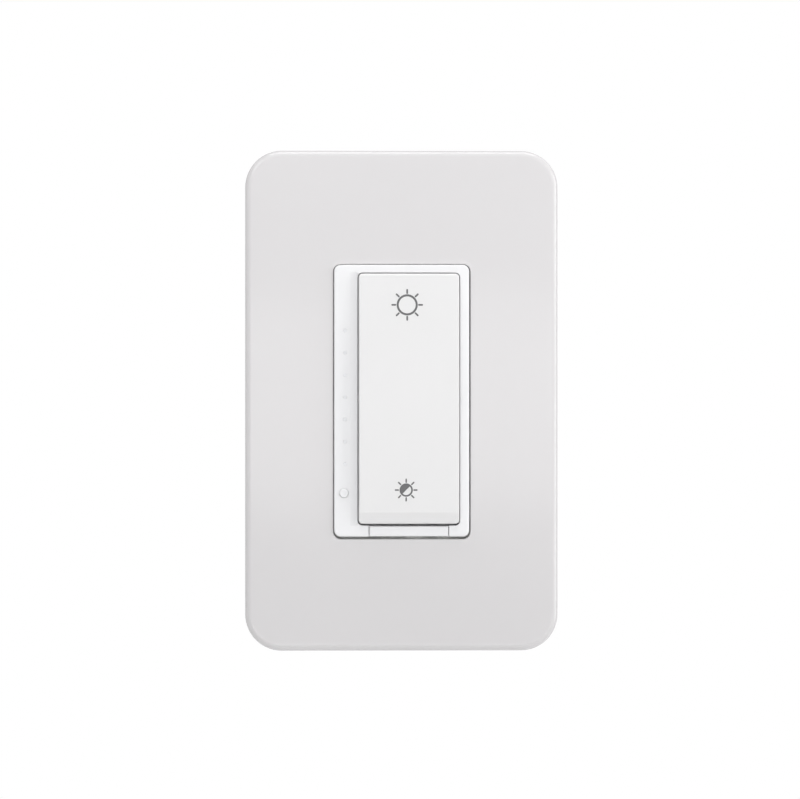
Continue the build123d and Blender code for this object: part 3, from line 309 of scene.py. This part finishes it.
# ------------------------------------------------------------------ finishes
FINISHES = {
    "plate_white": plastic(
        "gloss_plate", (0.655, 0.643, 0.650), rough=0.09, tone=0.008, grain=900.0, share=0.06,
        sink=26.0, spread=0.01, bump=0.00003, strength=0.2,
    ),
    "bezel_white": plastic(
        "satin_bezel", (0.805, 0.806, 0.818), rough=0.30, tone=0.012, grain=3800.0, share=0.5,
        sink=60.0, spread=0.05,
    ),
    "paddle_white": plastic(
        "satin_paddle", (0.742, 0.739, 0.742), rough=0.30, tone=0.012, grain=3800.0, share=0.5,
        sink=40.0, spread=0.05,
    ),
    "guide_clear": plastic("clear_guide", (0.86, 0.87, 0.89), rough=0.22, tone=0.02, IOR=1.49),
    "frame_white": plastic(
        "matt_frame", (0.70, 0.70, 0.68), rough=0.45, tone=0.03, grain=3000.0, share=0.6,
        sink=50.0,
    ),
    "housing_black": plastic(
        "black_housing", (0.022, 0.022, 0.024), rough=0.42, tone=0.25, grain=1500.0, share=0.7,
        sink=60.0, spread=0.12, bump=0.00004, strength=0.5,
    ),
    "stem_white": plastic("acetal_stem", (0.72, 0.72, 0.69), rough=0.32, tone=0.03),
    "part_black": plastic(
        "moulded_component", (0.018, 0.018, 0.02), rough=0.38, tone=0.3, grain=6000.0, share=0.6,
    ),
    "fuse_brown": plastic("fuse_case", (0.13, 0.05, 0.022), rough=0.35, tone=0.2, grain=4000.0),
    "film_yellow": plastic(
        "capacitor_case", (0.62, 0.42, 0.05), rough=0.28, tone=0.06, grain=3000.0,
    ),
    "can_sleeve": plastic(
        "capacitor_sleeve", (0.02, 0.025, 0.06), rough=0.22, tone=0.2, grain=2000.0,
    ),
    "varistor_blue": plastic(
        "dipped_resin", (0.03, 0.12, 0.34), rough=0.18, tone=0.15, grain=700.0, share=0.6,
        bump=0.0001,
    ),
    "tape_yellow": plastic(
        "polyester_tape", (0.66, 0.48, 0.05), rough=0.30, tone=0.08, grain=900.0, share=0.4,
        sink=200.0, bump=0.00006,
    ),
    "core_green": plastic(
        "powder_coated_core", (0.05, 0.22, 0.10), rough=0.45, tone=0.2, grain=5000.0, share=0.7,
    ),
    "fibre": plastic(
        "pressed_fibre", (0.20, 0.10, 0.045), rough=0.75, tone=0.35, grain=1400.0, share=0.8,
        sink=150.0, spread=0.1, bump=0.00008,
    ),
    "pad_grey": plastic("silicone_pad", (0.30, 0.31, 0.33), rough=0.6, tone=0.08, grain=2500.0),
    "led_lens": plastic(
        "resin_lens", (0.78, 0.76, 0.60), rough=0.15, tone=0.05, Transmission_Weight=0.3,
    ),
    "label_white": plastic(
        "blank_foil_label", (0.66, 0.66, 0.64), rough=0.34, tone=0.04, grain=1200.0, share=0.4,
        bump=0.00003,
    ),
    "board_green": finish(
        "circuit_board", "board",
        {"Mask": (0.012, 0.10, 0.045), "Track tone": 0.8, "Pitch": 420.0}, bump=0.00004,
        Coat_Weight=0.4,
    ),
    "strap_steel": metal(
        "zinc_strap", (0.60, 0.60, 0.585), tarnish=(0.42, 0.43, 0.42), rough=0.36, share=0.5,
        across=5000.0, along=90.0, spread=0.16, bump=0.00001,
    ),
    "screw_steel": metal(
        "zinc_screw", (0.62, 0.61, 0.58), tarnish=(0.36, 0.35, 0.32), rough=0.30, share=0.45,
        across=1500.0, along=1500.0,
    ),
    "ground_green": metal(
        "green_screw", (0.03, 0.20, 0.08), tarnish=(0.015, 0.10, 0.04), rough=0.32, share=0.6,
        across=1200.0, along=1200.0, Coat_Weight=0.3,
    ),
    "terminal_brass": metal(
        "brass", (0.66, 0.45, 0.17), tarnish=(0.36, 0.22, 0.08), rough=0.28, share=0.5,
        across=1800.0, along=1800.0,
    ),
    "terminal_silver": metal(
        "nickel", (0.62, 0.60, 0.56), tarnish=(0.40, 0.38, 0.34), rough=0.26, share=0.45,
        across=1800.0, along=1800.0,
    ),
    "contact_copper": metal(
        "copper_alloy", (0.68, 0.34, 0.20), tarnish=(0.30, 0.13, 0.07), rough=0.30, share=0.5,
        across=2500.0, along=300.0,
    ),
    "wire_copper": metal(
        "enamelled_wire", (0.60, 0.24, 0.09), tarnish=(0.38, 0.12, 0.04), rough=0.22, share=0.4,
        Coat_Weight=0.7,
    ),
    "spring_steel": metal(
        "spring_wire", (0.50, 0.50, 0.50), tarnish=(0.30, 0.30, 0.31), rough=0.25, share=0.3,
    ),
    "spread_aluminium": metal(
        "aluminium", (0.70, 0.71, 0.72), tarnish=(0.50, 0.51, 0.52), rough=0.34, share=0.4,
        across=6000.0, along=200.0,
    ),
    "shield_tin": metal(
        "tinned_shield", (0.64, 0.64, 0.62), tarnish=(0.45, 0.45, 0.43), rough=0.30, share=0.5,
        across=2500.0, along=2500.0,
    ),
    "icon_ink": plastic(
        "icon_ink", (0.13, 0.13, 0.133), rough=0.42, tone=0.05, grain=5000.0, share=0.7,
        sink=400.0, bump=0.000008,
    ),
}

# every CAD node that stays in sight gets the finish of its slot
SLOT_OF = {part["node"]: part["material_slot"] for part in frame["record"]["subparts"]}
for part, shown in frame["nodes"].items():
    shown.data.materials.clear()
    shown.data.materials.append(FINISHES[SLOT_OF[part]])


# ------------------------------------------------------------------ shapes from rings of points
def ring_faces(rings, wrap):
    """The four corners of every face between neighbouring rings, each ring closed on itself."""
    count, around = rings.shape[:2]
    i = np.arange(count if wrap else count - 1)[:, None]
    j = np.arange(around)[None, :]
    k, after = (i + 1) % count, (j + 1) % around
    corners = (i * around + j, i * around + after, k * around + after, k * around + j)
    return np.stack(np.broadcast_arrays(*corners), -1).reshape(-1, 4)


def closed_shape(rings, wrap=False):
    """Points and faces of a closed solid through rings. rings[i, j] is point j of ring i. With wrap
    the last ring joins the first; without it each end closes with a fan to the middle of its
    ring."""
    points = rings.reshape(-1, 3)
    faces = ring_faces(rings, wrap)
    around = rings.shape[1]
    if not wrap:
        first, last = len(points), len(points) + 1
        points = np.vstack([points, rings[0].mean(0), rings[-1].mean(0)])
        j = np.arange(around)
        after = (j + 1) % around
        end = (rings.shape[0] - 1) * around
        start_fan = np.stack([np.full(around, first), after, j, np.full(around, -1)], -1)
        end_fan = np.stack([np.full(around, last), end + j, end + after, np.full(around, -1)], -1)
        faces = np.vstack([faces, start_fan, end_fan])
    return points, faces


def volume(points, faces):
    """Signed volume enclosed by the faces, positive when they face outwards."""
    a, b, c = (points[faces[:, n]] for n in range(3))
    total = np.einsum("ij,ij->i", a, np.cross(b, c)).sum()
    four = faces[faces[:, 3] >= 0]
    a, c, d = (points[four[:, n]] for n in (0, 2, 3))
    return total + np.einsum("ij,ij->i", a, np.cross(c, d)).sum()


def piece(name, shapes, slot, body, instead_of=(), crease=40.0):
    """One mesh from closed shapes, faces outwards, smooth except at creases, riding on a body."""
    points, polygons, base = [], [], 0
    for shape_points, faces in shapes:
        if volume(shape_points, faces) < 0:
            tri = faces[:, 3] < 0
            faces = np.where(tri[:, None], faces[:, [0, 2, 1, 3]], faces[:, [3, 2, 1, 0]])
        points.append(shape_points)
        polygons += [[base + v for v in row if v >= 0] for row in faces.tolist()]
        base += len(shape_points)
    mesh = bpy.data.meshes.new(name)
    mesh.from_pydata(np.vstack(points).tolist(), [], polygons)
    mesh.shade_smooth()
    mesh.set_sharp_from_angle(angle=math.radians(crease))
    mesh.materials.append(FINISHES[slot])
    made = bpy.data.objects.new(name, mesh)
    bpy.context.scene.collection.objects.link(made)
    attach(made, body)
    if instead_of:
        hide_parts(*instead_of)
    return made


def outline(w, h, r, corner=14, side=36):
    """Points round a rectangle with rounded corners, always the same number, so that two outlines
    match point by point: each corner is an arc of equal steps and each side is a line of equal
    steps."""
    quarter = np.pi / 2
    arc = np.linspace(0, quarter, corner, endpoint=False)
    line = np.linspace(0, 1, side, endpoint=False)[:, None]
    signs = ((1, 1), (-1, 1), (-1, -1), (1, -1))

    def on_arc(turn, angle):
        sx, sz = signs[turn % 4]
        centre = np.array([sx * (w / 2 - r), sz * (h / 2 - r)])
        return centre + r * np.stack([np.cos(angle), np.sin(angle)], -1)

    parts = []
    for turn in range(4):
        begin = turn * quarter
        start, stop = on_arc(turn, begin + quarter), on_arc(turn + 1, begin + quarter)
        parts += [on_arc(turn, arc + begin), start + (stop - start) * line]
    return np.vstack(parts)


def spans(node_name):
    """Lowest and highest corner of a CAD node in millimetres."""
    low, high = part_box(node_name)
    return np.array(low) / MM, np.array(high) / MM


# ------------------------------------------------------------------ wall plate
def plate_shell():
    """The screwless plate as one closed skin that runs up the collar round the opening, across the
    face, over the rounded edge, down the skirt, under the rim and back inside. The face drops by a
    quarter of a millimetre from the opening to the edge, as the square of the distance, and carries
    the slight unevenness of a moulding: a sum of three sine waves some 25 to 45 mm long, each six
    thousandths of a millimetre high, which fades out at both ends of the face."""
    low, high = spans("wall_plate")
    width, height, front = high[0] - low[0], high[2] - low[2], -low[1]
    bezel_low, bezel_high = spans("bezel")
    # the opening: its play round the bezel, its collar and edge, and how far it sits off the middle
    play, play_more_up = 0.25, 0.1
    open_w = bezel_high[0] - bezel_low[0] + 2 * play
    open_h = bezel_high[2] - bezel_low[2] + 2 * (play + play_more_up)
    open_r, lip_edge, lip_wall, lip_back, lip_chamfer = 1.85, 0.3, 1.2, -3.8, 0.15
    off_middle = np.array([0.07, -0.24])
    # the rim: its corner radius and rounded edge, the skin, the skirt, and how far the face drops
    corner, edge, skin, skirt, rim_chamfer, drop = 8.9, 1.6, 1.8, 1.6, 0.2, 0.25
    wave_height = 0.006
    inner, fillet = skin - front, 0.4
    rings = []

    def add(shape, y):
        rings.append(np.stack([shape[:, 0], np.broadcast_to(y, len(shape)), shape[:, 1]], -1))

    def opening(grow):
        return outline(open_w + 2 * grow, open_h + 2 * grow, open_r + grow) + off_middle

    def rim(shrink):
        return outline(width - 2 * shrink, height - 2 * shrink, corner - shrink)

    add(opening(lip_wall), lip_back)
    add(opening(lip_chamfer), lip_back)
    add(opening(0), lip_back - lip_chamfer)
    for y in np.linspace(lip_back - 0.4, lip_edge - front, 6):
        add(opening(0), y)
    for t in np.linspace(0, np.pi / 2, 7)[1:]:
        add(opening(lip_edge * (1 - np.cos(t))), -front + lip_edge * (1 - np.sin(t)))
    inside, outside = opening(lip_edge), rim(edge)
    for s in np.linspace(0, 1, 40)[1:]:
        shape = inside + (outside - inside) * s
        x, z = shape[:, 0], shape[:, 1]
        waves = (
            np.sin(x / 4.3 + z / 17.0)
            + np.sin(z / 6.1 - x / 9.0 + 1.0)
            + np.sin(z / 4.4 + x / 13.0 + 2.0)
        )
        fade = np.sin(np.pi * s) ** 0.5 if s < 1 else 0.0
        add(shape, -front + drop * s**2 + wave_height * waves * fade)
    for t in np.linspace(0, np.pi / 2, 14)[1:]:
        add(rim(edge * (1 - np.sin(t))), -front + drop + (edge - drop) * (1 - np.cos(t)))
    for y in np.linspace(edge + 0.6 - front, -rim_chamfer, 7):
        add(rim(0), y)
    add(rim(rim_chamfer), 0.0)
    add(rim(skirt - rim_chamfer), 0.0)
    add(rim(skirt), -rim_chamfer)
    for y in np.linspace(-0.6, inner + fillet, 6):
        add(rim(skirt), y)
    deep_out, deep_in = rim(skirt + fillet), opening(lip_wall + 0.3)
    for s in np.linspace(0, 1, 14):
        add(deep_out + (deep_in - deep_out) * s, inner)
    add(opening(lip_wall), inner + 0.3)
    shell = closed_shape(np.array(rings) * MM, wrap=True)
    piece("plate_shell", [shell], "plate_white", "device", ["wall_plate"], crease=50.0)


plate_shell()


# ------------------------------------------------------------------ printed icons on the paddle
PADDLE = frame["nodes"]["paddle"]


def on_paddle(x, z):
    """Depth of the paddle's own face at each point, found by looking straight at it from in
    front."""
    in_front, inwards = -0.03, (0, 1, 0)
    depths = []
    for px, pz in zip(x.ravel().tolist(), z.ravel().tolist()):
        where = PADDLE.ray_cast((px * MM, in_front, pz * MM), inwards)[1]
        depths.append(where.y / MM)
    return np.array(depths).reshape(x.shape)


def ink(x, z, lift=0.02, sink=0.05):
    """A film of ink over a patch of the paddle. x and z are grids of points, one row per step along
    the stroke and one column per step across it; the film stands a little proud and dips below at
    its border."""
    y = on_paddle(x, z)
    top = np.stack([x, y - lift, z], -1)
    below = np.stack([x, y + sink, z], -1)
    return np.concatenate([top, below[:, ::-1]], 1)


def arc_ink(cx, cz, inner, outer, start, end, steps, closed=False):
    """Part of a ring: a middle plus each radius along each angle, between two radii and two
    angles."""
    angle = np.linspace(start, end, steps, endpoint=not closed)[:, None]
    radius = np.linspace(inner, outer, 7)[None, :]
    return closed_shape(ink(cx + radius * np.cos(angle), cz + radius * np.sin(angle)) * MM, wrap=closed)


def ray_ink(cx, cz, inner, outer, angle, stroke):
    """A ray with half-round ends, from one radius to another along an angle. Its half width at a
    point is the height of a half circle over the distance to the nearer end, and the full half
    width between the ends."""
    half = stroke / 2
    blunt = 0.06
    along = np.concatenate(
        [
            inner + half - half * np.cos(np.linspace(blunt, np.pi / 2, 6)),
            np.linspace(inner + half, outer - half, 5)[1:-1],
            outer - half + half * np.sin(np.linspace(0, np.pi / 2 - blunt, 6)),
        ]
    )
    reach = np.minimum(along - inner, outer - along).clip(0, half)
    wide = np.sqrt(np.maximum(half**2 - (half - reach) ** 2, 1e-9))
    across = np.linspace(-1, 1, 5)[None, :] * wide[:, None]
    c, s = np.cos(angle), np.sin(angle)
    x = cx + along[:, None] * c - across * s
    z = cz + along[:, None] * s + across * c
    return closed_shape(ink(x, z) * MM)


def sun(name, middle, ring, stroke, ray_stroke, rays, filled=False):
    """A ring with eight rays, which run between the two radii in rays. filled adds a half disc on
    its upper left side, which overlaps the ring a little."""
    cx, cz = middle
    overlap = 0.02
    shapes = [arc_ink(cx, cz, ring - stroke, ring, 0, 2 * np.pi, 96, closed=True)]
    if filled:
        start = np.pi / 4
        shapes.append(arc_ink(cx, cz, overlap, ring - stroke + overlap, start, start + np.pi, 40))
    shapes += [ray_ink(cx, cz, *rays, k * np.pi / 4, ray_stroke) for k in range(8)]
    piece(name, shapes, "icon_ink", "paddle_body", crease=60.0)


sun("bright_icon", (1.3, 23.3), ring=2.56, stroke=0.50, ray_stroke=0.42, rays=(2.66, 3.85))
sun("dim_icon", (1.05, -21.7), ring=1.62, stroke=0.40, ray_stroke=0.36, rays=(1.74, 2.78), filled=True)


# ------------------------------------------------------------------ screws
def turned_to(shape, origin, axis):
    """A shape made along its own third axis, moved to an origin and turned so that axis points
    along axis."""
    points, faces = shape
    along = np.array(axis, float)
    first = np.array([1.0, 0, 0]) if abs(along[0]) < 0.5 else np.array([0, 0, 1.0])
    second = np.cross(along, first)
    return (points @ np.stack([first, second, along]) + np.array(origin)) * MM, faces


def shank(neck_r, neck, major, pitch, length, blunt, around=32):
    """A plain neck followed by a rolled thread. The radius is the core's plus a triangle wave of
    height over pitch less angle over one turn, so the crest climbs as a helix; it fades in after
    the neck and out at the tip, where the core narrows as well."""
    thread_depth, rings_per_turn, sunk_in_head, tip_taper = 0.6, 12, 0.3, 0.4
    crest_gain, root_flat = 1.3, 0.1
    core = major - thread_depth * pitch
    rise = pitch / rings_per_turn
    height = np.concatenate(
        [
            np.linspace(-sunk_in_head, neck, 4),
            np.arange(neck + rise, length - blunt, rise),
            np.linspace(length - blunt, length, 7),
        ]
    )[:, None]
    angle = np.linspace(0, 2 * np.pi, around, endpoint=False)[None, :]
    wave = 1 - np.abs(2 * ((height / pitch - angle / (2 * np.pi)) % 1.0) - 1)
    crest = np.clip(crest_gain * wave - root_flat, 0, 1)
    start = np.clip((height - neck) / pitch, 0, 1)
    left = np.clip((length - height) / blunt, 0, 1)
    radius = core + (major - core) * crest * start * left - (1 - left) * tip_taper * core
    radius = np.where(height <= neck, neck_r, radius)
    x, y = radius * np.cos(angle), radius * np.sin(angle)
    return closed_shape(np.stack([x, y, np.broadcast_to(height, radius.shape)], -1))


def head(radius, tall, edge, slot_w, slot_d, cross, sides=0):
    """A screw head lofted from slices across it, from one side to the other. The top stands at
    tall, rolls over at the rim by edge, and sinks by slot_d inside the slot and inside the shorter
    cross slot. sides makes the outline a polygon with corners at radius; otherwise it is round."""
    lip, last_slice, least_chord, slot_share, cross_end = 0.02, 0.998, 0.002, 0.8, 0.25
    half = slot_w / 2
    inner = np.array([0.0, half - lip, half + lip])
    outer = np.linspace(half + 0.2, radius * 0.985, 12)
    reach = np.concatenate([inner, outer, [radius * last_slice]])
    across = np.concatenate([-reach[:0:-1], reach])
    if sides:
        turn = np.pi / sides
        chord = np.minimum(radius * np.cos(turn), (radius - np.abs(across)) / np.tan(turn))
    else:
        chord = np.sqrt(np.maximum(radius**2 - across**2, 0))
    chord = np.maximum(chord, least_chord)[:, None]
    # points out from the middle of a slice: three about the slot's wall, then ten evenly to the rim
    steps = np.concatenate([inner, np.full(10, half + lip)])[None, :]
    share = np.concatenate([np.zeros(3), np.linspace(0, 1, 11)[1:]])[None, :]
    fit = np.minimum(1.0, slot_share * chord / (half + lip))
    upper = steps * fit + np.maximum(chord - steps * fit, 0) * share
    v = np.concatenate([-upper[:, :0:-1], upper], 1)
    x = np.broadcast_to(across[:, None], v.shape)
    rim = np.clip((np.hypot(x, v) - (radius - edge)) / edge, 0, 1)
    top = tall - edge * (1 - np.sqrt(np.maximum(1 - rim**2, 0)))
    in_slot = np.abs(v) < half * fit
    in_cross = np.clip((cross - np.abs(v)) / cross_end, 0, 1) * (np.abs(x) < half)
    top = top - np.maximum(in_slot, in_cross) * slot_d
    over = np.stack([x, v, -top], -1)
    under = np.stack([x, v, np.zeros_like(v)], -1)[:, ::-1]
    return closed_shape(np.concatenate([over, under], 1))


def screws(node_name, spots, slot, shank_form, *head_forms):
    """Every screw of a CAD node. Each spot is a point under a head and the way the shank goes from
    it. A second head form is the flange under the first."""
    shapes = []
    for spot, axis in spots:
        for shape in (shank(**shank_form), *(head(**form) for form in head_forms)):
            shapes.append(turned_to(shape, spot, axis))
    piece(f"{node_name}_threaded", shapes, slot, "device", [node_name], crease=35.0)


# the 6-32 thread of the box and plate screws; the ground and terminal screws are thicker
MAJOR_R, PITCH = 1.7525, 0.794
BOX_HEAD = dict(radius=3.3, tall=2.2, edge=0.7, slot_w=0.9, slot_d=1.1, cross=1.9)
PLATE_HEAD = dict(radius=2.8, tall=1.5, edge=0.6, slot_w=0.9, slot_d=0.8, cross=1.5)
HOUSING_HEAD = dict(radius=2.0, tall=1.5, edge=0.5, slot_w=0.5, slot_d=0.8, cross=1.3)
TERMINAL_HEAD = dict(radius=3.6, tall=2.2, edge=0.7, slot_w=0.9, slot_d=1.1, cross=2.0)
HEX_HEAD = dict(
    radius=8.0 / math.sqrt(3), tall=3.8, edge=0.8, slot_w=0.9, slot_d=1.3, cross=2.0, sides=6
)
HEX_FLANGE = dict(radius=4.6, tall=0.8, edge=0.3, slot_w=0.9, slot_d=0.0, cross=0)

# a box screw is bare to just behind the strap, and a plate screw is threaded nearly to its head
for title, head_form, neck_r, bare_to, blunt in (
    ("box_screws", BOX_HEAD, 1.45, 1.2, 0.8),
    ("plate_screws", PLATE_HEAD, 1.7, None, 0.5),
):
    low, high = spans(title)
    seat = low[1] + head_form["tall"]
    neck = 0.3 if bare_to is None else bare_to - seat
    screws(
        title,
        [((0, seat, side * (high[2] - head_form["radius"])), (0, 1, 0)) for side in (-1, 1)],
        "screw_steel",
        dict(
            neck_r=neck_r, neck=neck, major=MAJOR_R, pitch=PITCH, length=high[1] - seat,
            blunt=blunt, around=36,
        ),
        head_form,
    )

low, high = spans("ground_screw")
ground_spot = (*((low + high) / 2)[:2], low[2] + HEX_HEAD["tall"])
screws(
    "ground_screw",
    [(ground_spot, (0, 0, 1))],
    "ground_green",
    dict(
        neck_r=1.75, neck=0.3, major=2.1, pitch=PITCH, length=high[2] - ground_spot[2], blunt=0.5,
        around=36,
    ),
    HEX_HEAD,
    HEX_FLANGE,
)

low, high = spans("housing_screws")
seat = high[1] - HOUSING_HEAD["tall"]
side_x, side_z = high[0] - HOUSING_HEAD["radius"], high[2] - HOUSING_HEAD["radius"]
screws(
    "housing_screws",
    [((sx * side_x, seat, sz * side_z), (0, -1, 0)) for sx in (-1, 1) for sz in (-1, 1)],
    "screw_steel",
    dict(neck_r=0.85, neck=0.3, major=1.1, pitch=0.6, length=seat - low[1], blunt=0.9, around=24),
    HOUSING_HEAD,
)

low, high = spans("live_terminal_screws")
reach, middle = high[0] - TERMINAL_HEAD["tall"], (low[1] + high[1]) / 2
rise = high[2] - TERMINAL_HEAD["radius"]
for title, slot, sides in (
    ("live_terminal_screws", "terminal_brass", ((1, 1), (1, -1), (-1, -1))),
    ("neutral_terminal_screw", "terminal_silver", ((-1, 1),)),
):
    screws(
        title,
        [((sx * reach, middle, sz * rise), (-sx, 0, 0)) for sx, sz in sides],
        slot,
        dict(neck_r=1.6, neck=0.2, major=1.9, pitch=PITCH, length=2.8, blunt=0.5, around=28),
        TERMINAL_HEAD,
    )


# ------------------------------------------------------------------ springs under the paddle
def coil(node_name, turns=3.5, wire=0.2, around=14):
    """A round-wire coil between the ends of the CAD one. The wire's middle runs round the axis as
    the angle grows, and along it only in the middle of its run, so that the end turns lie flat, as
    ground ends do."""
    low, high = spans(node_name)
    centre = (low + high) / 2
    radius = (high[0] - low[0]) / 2 - wire
    flat_end, kept_length = 0.12, 0.66
    share = np.linspace(0, 1, 150)
    turn = 2 * np.pi * turns * share
    rise = np.clip((share - flat_end) / (1 - 2 * flat_end), 0, 1)
    depth = low[1] + wire + (high[1] - low[1] - 2 * wire) * rise
    line = np.stack([centre[0] + radius * np.cos(turn), depth, centre[2] + radius * np.sin(turn)], -1)
    ahead = np.gradient(line, axis=0)
    ahead /= np.linalg.norm(ahead, axis=1)[:, None]
    outward = np.stack([np.cos(turn), np.zeros_like(turn), np.sin(turn)], -1)
    side = np.cross(ahead, outward)
    angle = np.linspace(0, 2 * np.pi, around, endpoint=False)[None, :, None]
    section = np.cos(angle) * outward[:, None] + np.sin(angle) * side[:, None]
    rings = line[:, None] + wire * section
    made = piece(f"{node_name}_coil", [closed_shape(rings * MM)], "spring_steel", "device", [node_name])
    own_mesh(made)


coil("upper_spring")
coil("lower_spring")


# ------------------------------------------------------------------ stage, light and camera
def floor_disc(height, reach):
    """A level round floor: rings of growing radius about its middle, and the same ones below as its
    base."""
    around, across, thick = 96, 24, 0.01
    radius = np.linspace(0.02, reach, across)[:, None]
    angle = np.linspace(0, 2 * np.pi, around, endpoint=False)[None, :]
    x, y = radius * np.cos(angle), radius * np.sin(angle)
    rings = np.stack([x, y, np.full((across, around), height)], -1)
    underside = rings[::-1] - np.array([0, 0, thick])
    points, faces = closed_shape(np.concatenate([rings, underside]))
    mesh = bpy.data.meshes.new("floor")
    mesh.from_pydata(points.tolist(), [], [[v for v in row if v >= 0] for row in faces.tolist()])
    finish_of_floor = plastic(
        "pale_floor", (0.86, 0.86, 0.86), rough=0.6, tone=0.01, grain=200.0, share=0.3, sink=4.0
    )
    mesh.materials.append(finish_of_floor)
    made = bpy.data.objects.new("floor", mesh)
    bpy.context.scene.collection.objects.link(made)


def soft_light(name, place, width, height, power):
    """A rectangular soft light that faces the switch and that the camera can't see."""
    lamp = bpy.data.lights.new(name, "AREA")
    lamp.shape = "RECTANGLE"
    lamp.size, lamp.size_y, lamp.energy = width, height, power
    made = bpy.data.objects.new(name, lamp)
    made.location = place
    made.rotation_euler = (-Vector(place)).to_track_quat("-Z", "Y").to_euler()
    made.visible_camera = False
    bpy.context.scene.collection.objects.link(made)


def white_room(seen, felt):
    """Surroundings that look white to the camera and give a weaker even light."""
    world = bpy.data.worlds.new("white_room")
    world.use_nodes = True
    tree = world.node_tree
    back = tree.nodes["Background"]
    rays = tree.nodes.new("ShaderNodeLightPath")
    extra = maths(tree, "MULTIPLY", rays.outputs["Is Camera Ray"], seen - felt)
    back.inputs["Color"].default_value = (1, 1, 1, 1)
    tree.links.new(maths(tree, "ADD", extra, felt), back.inputs["Strength"])
    bpy.context.scene.world = world


floor_disc(height=-0.2, reach=0.85)
white_room(seen=1.0, felt=0.50)
soft_light("key", (-0.75, -1.15, 0.85), width=0.8, height=0.8, power=4.7)
soft_light("above", (0.05, -0.30, 1.2), width=1.0, height=0.6, power=7.3)
soft_light("side", (1.1, -0.40, 0.1), width=0.5, height=0.9, power=6.0)
soft_light("fill", (0.05, -1.05, -0.42), width=0.9, height=0.4, power=19.0)
soft_light("band", (0.02, -1.45, 0.0), width=1.2, height=0.13, power=0.7)

bpy.context.scene.view_settings.view_transform = "Standard"

# a long lens a little left of the switch and level with its middle
camera = bpy.data.cameras.new("camera")
camera.sensor_width = 36.0
camera.lens = 165.0
eye = bpy.data.objects.new("camera", camera)
eye.location = (-0.02, -0.9, 0.0)
aim = Vector((-0.0004, -0.007, 0.0003))
eye.rotation_euler = (aim - eye.location).to_track_quat("-Z", "Y").to_euler()
bpy.context.scene.collection.objects.link(eye)
bpy.context.scene.camera = eye
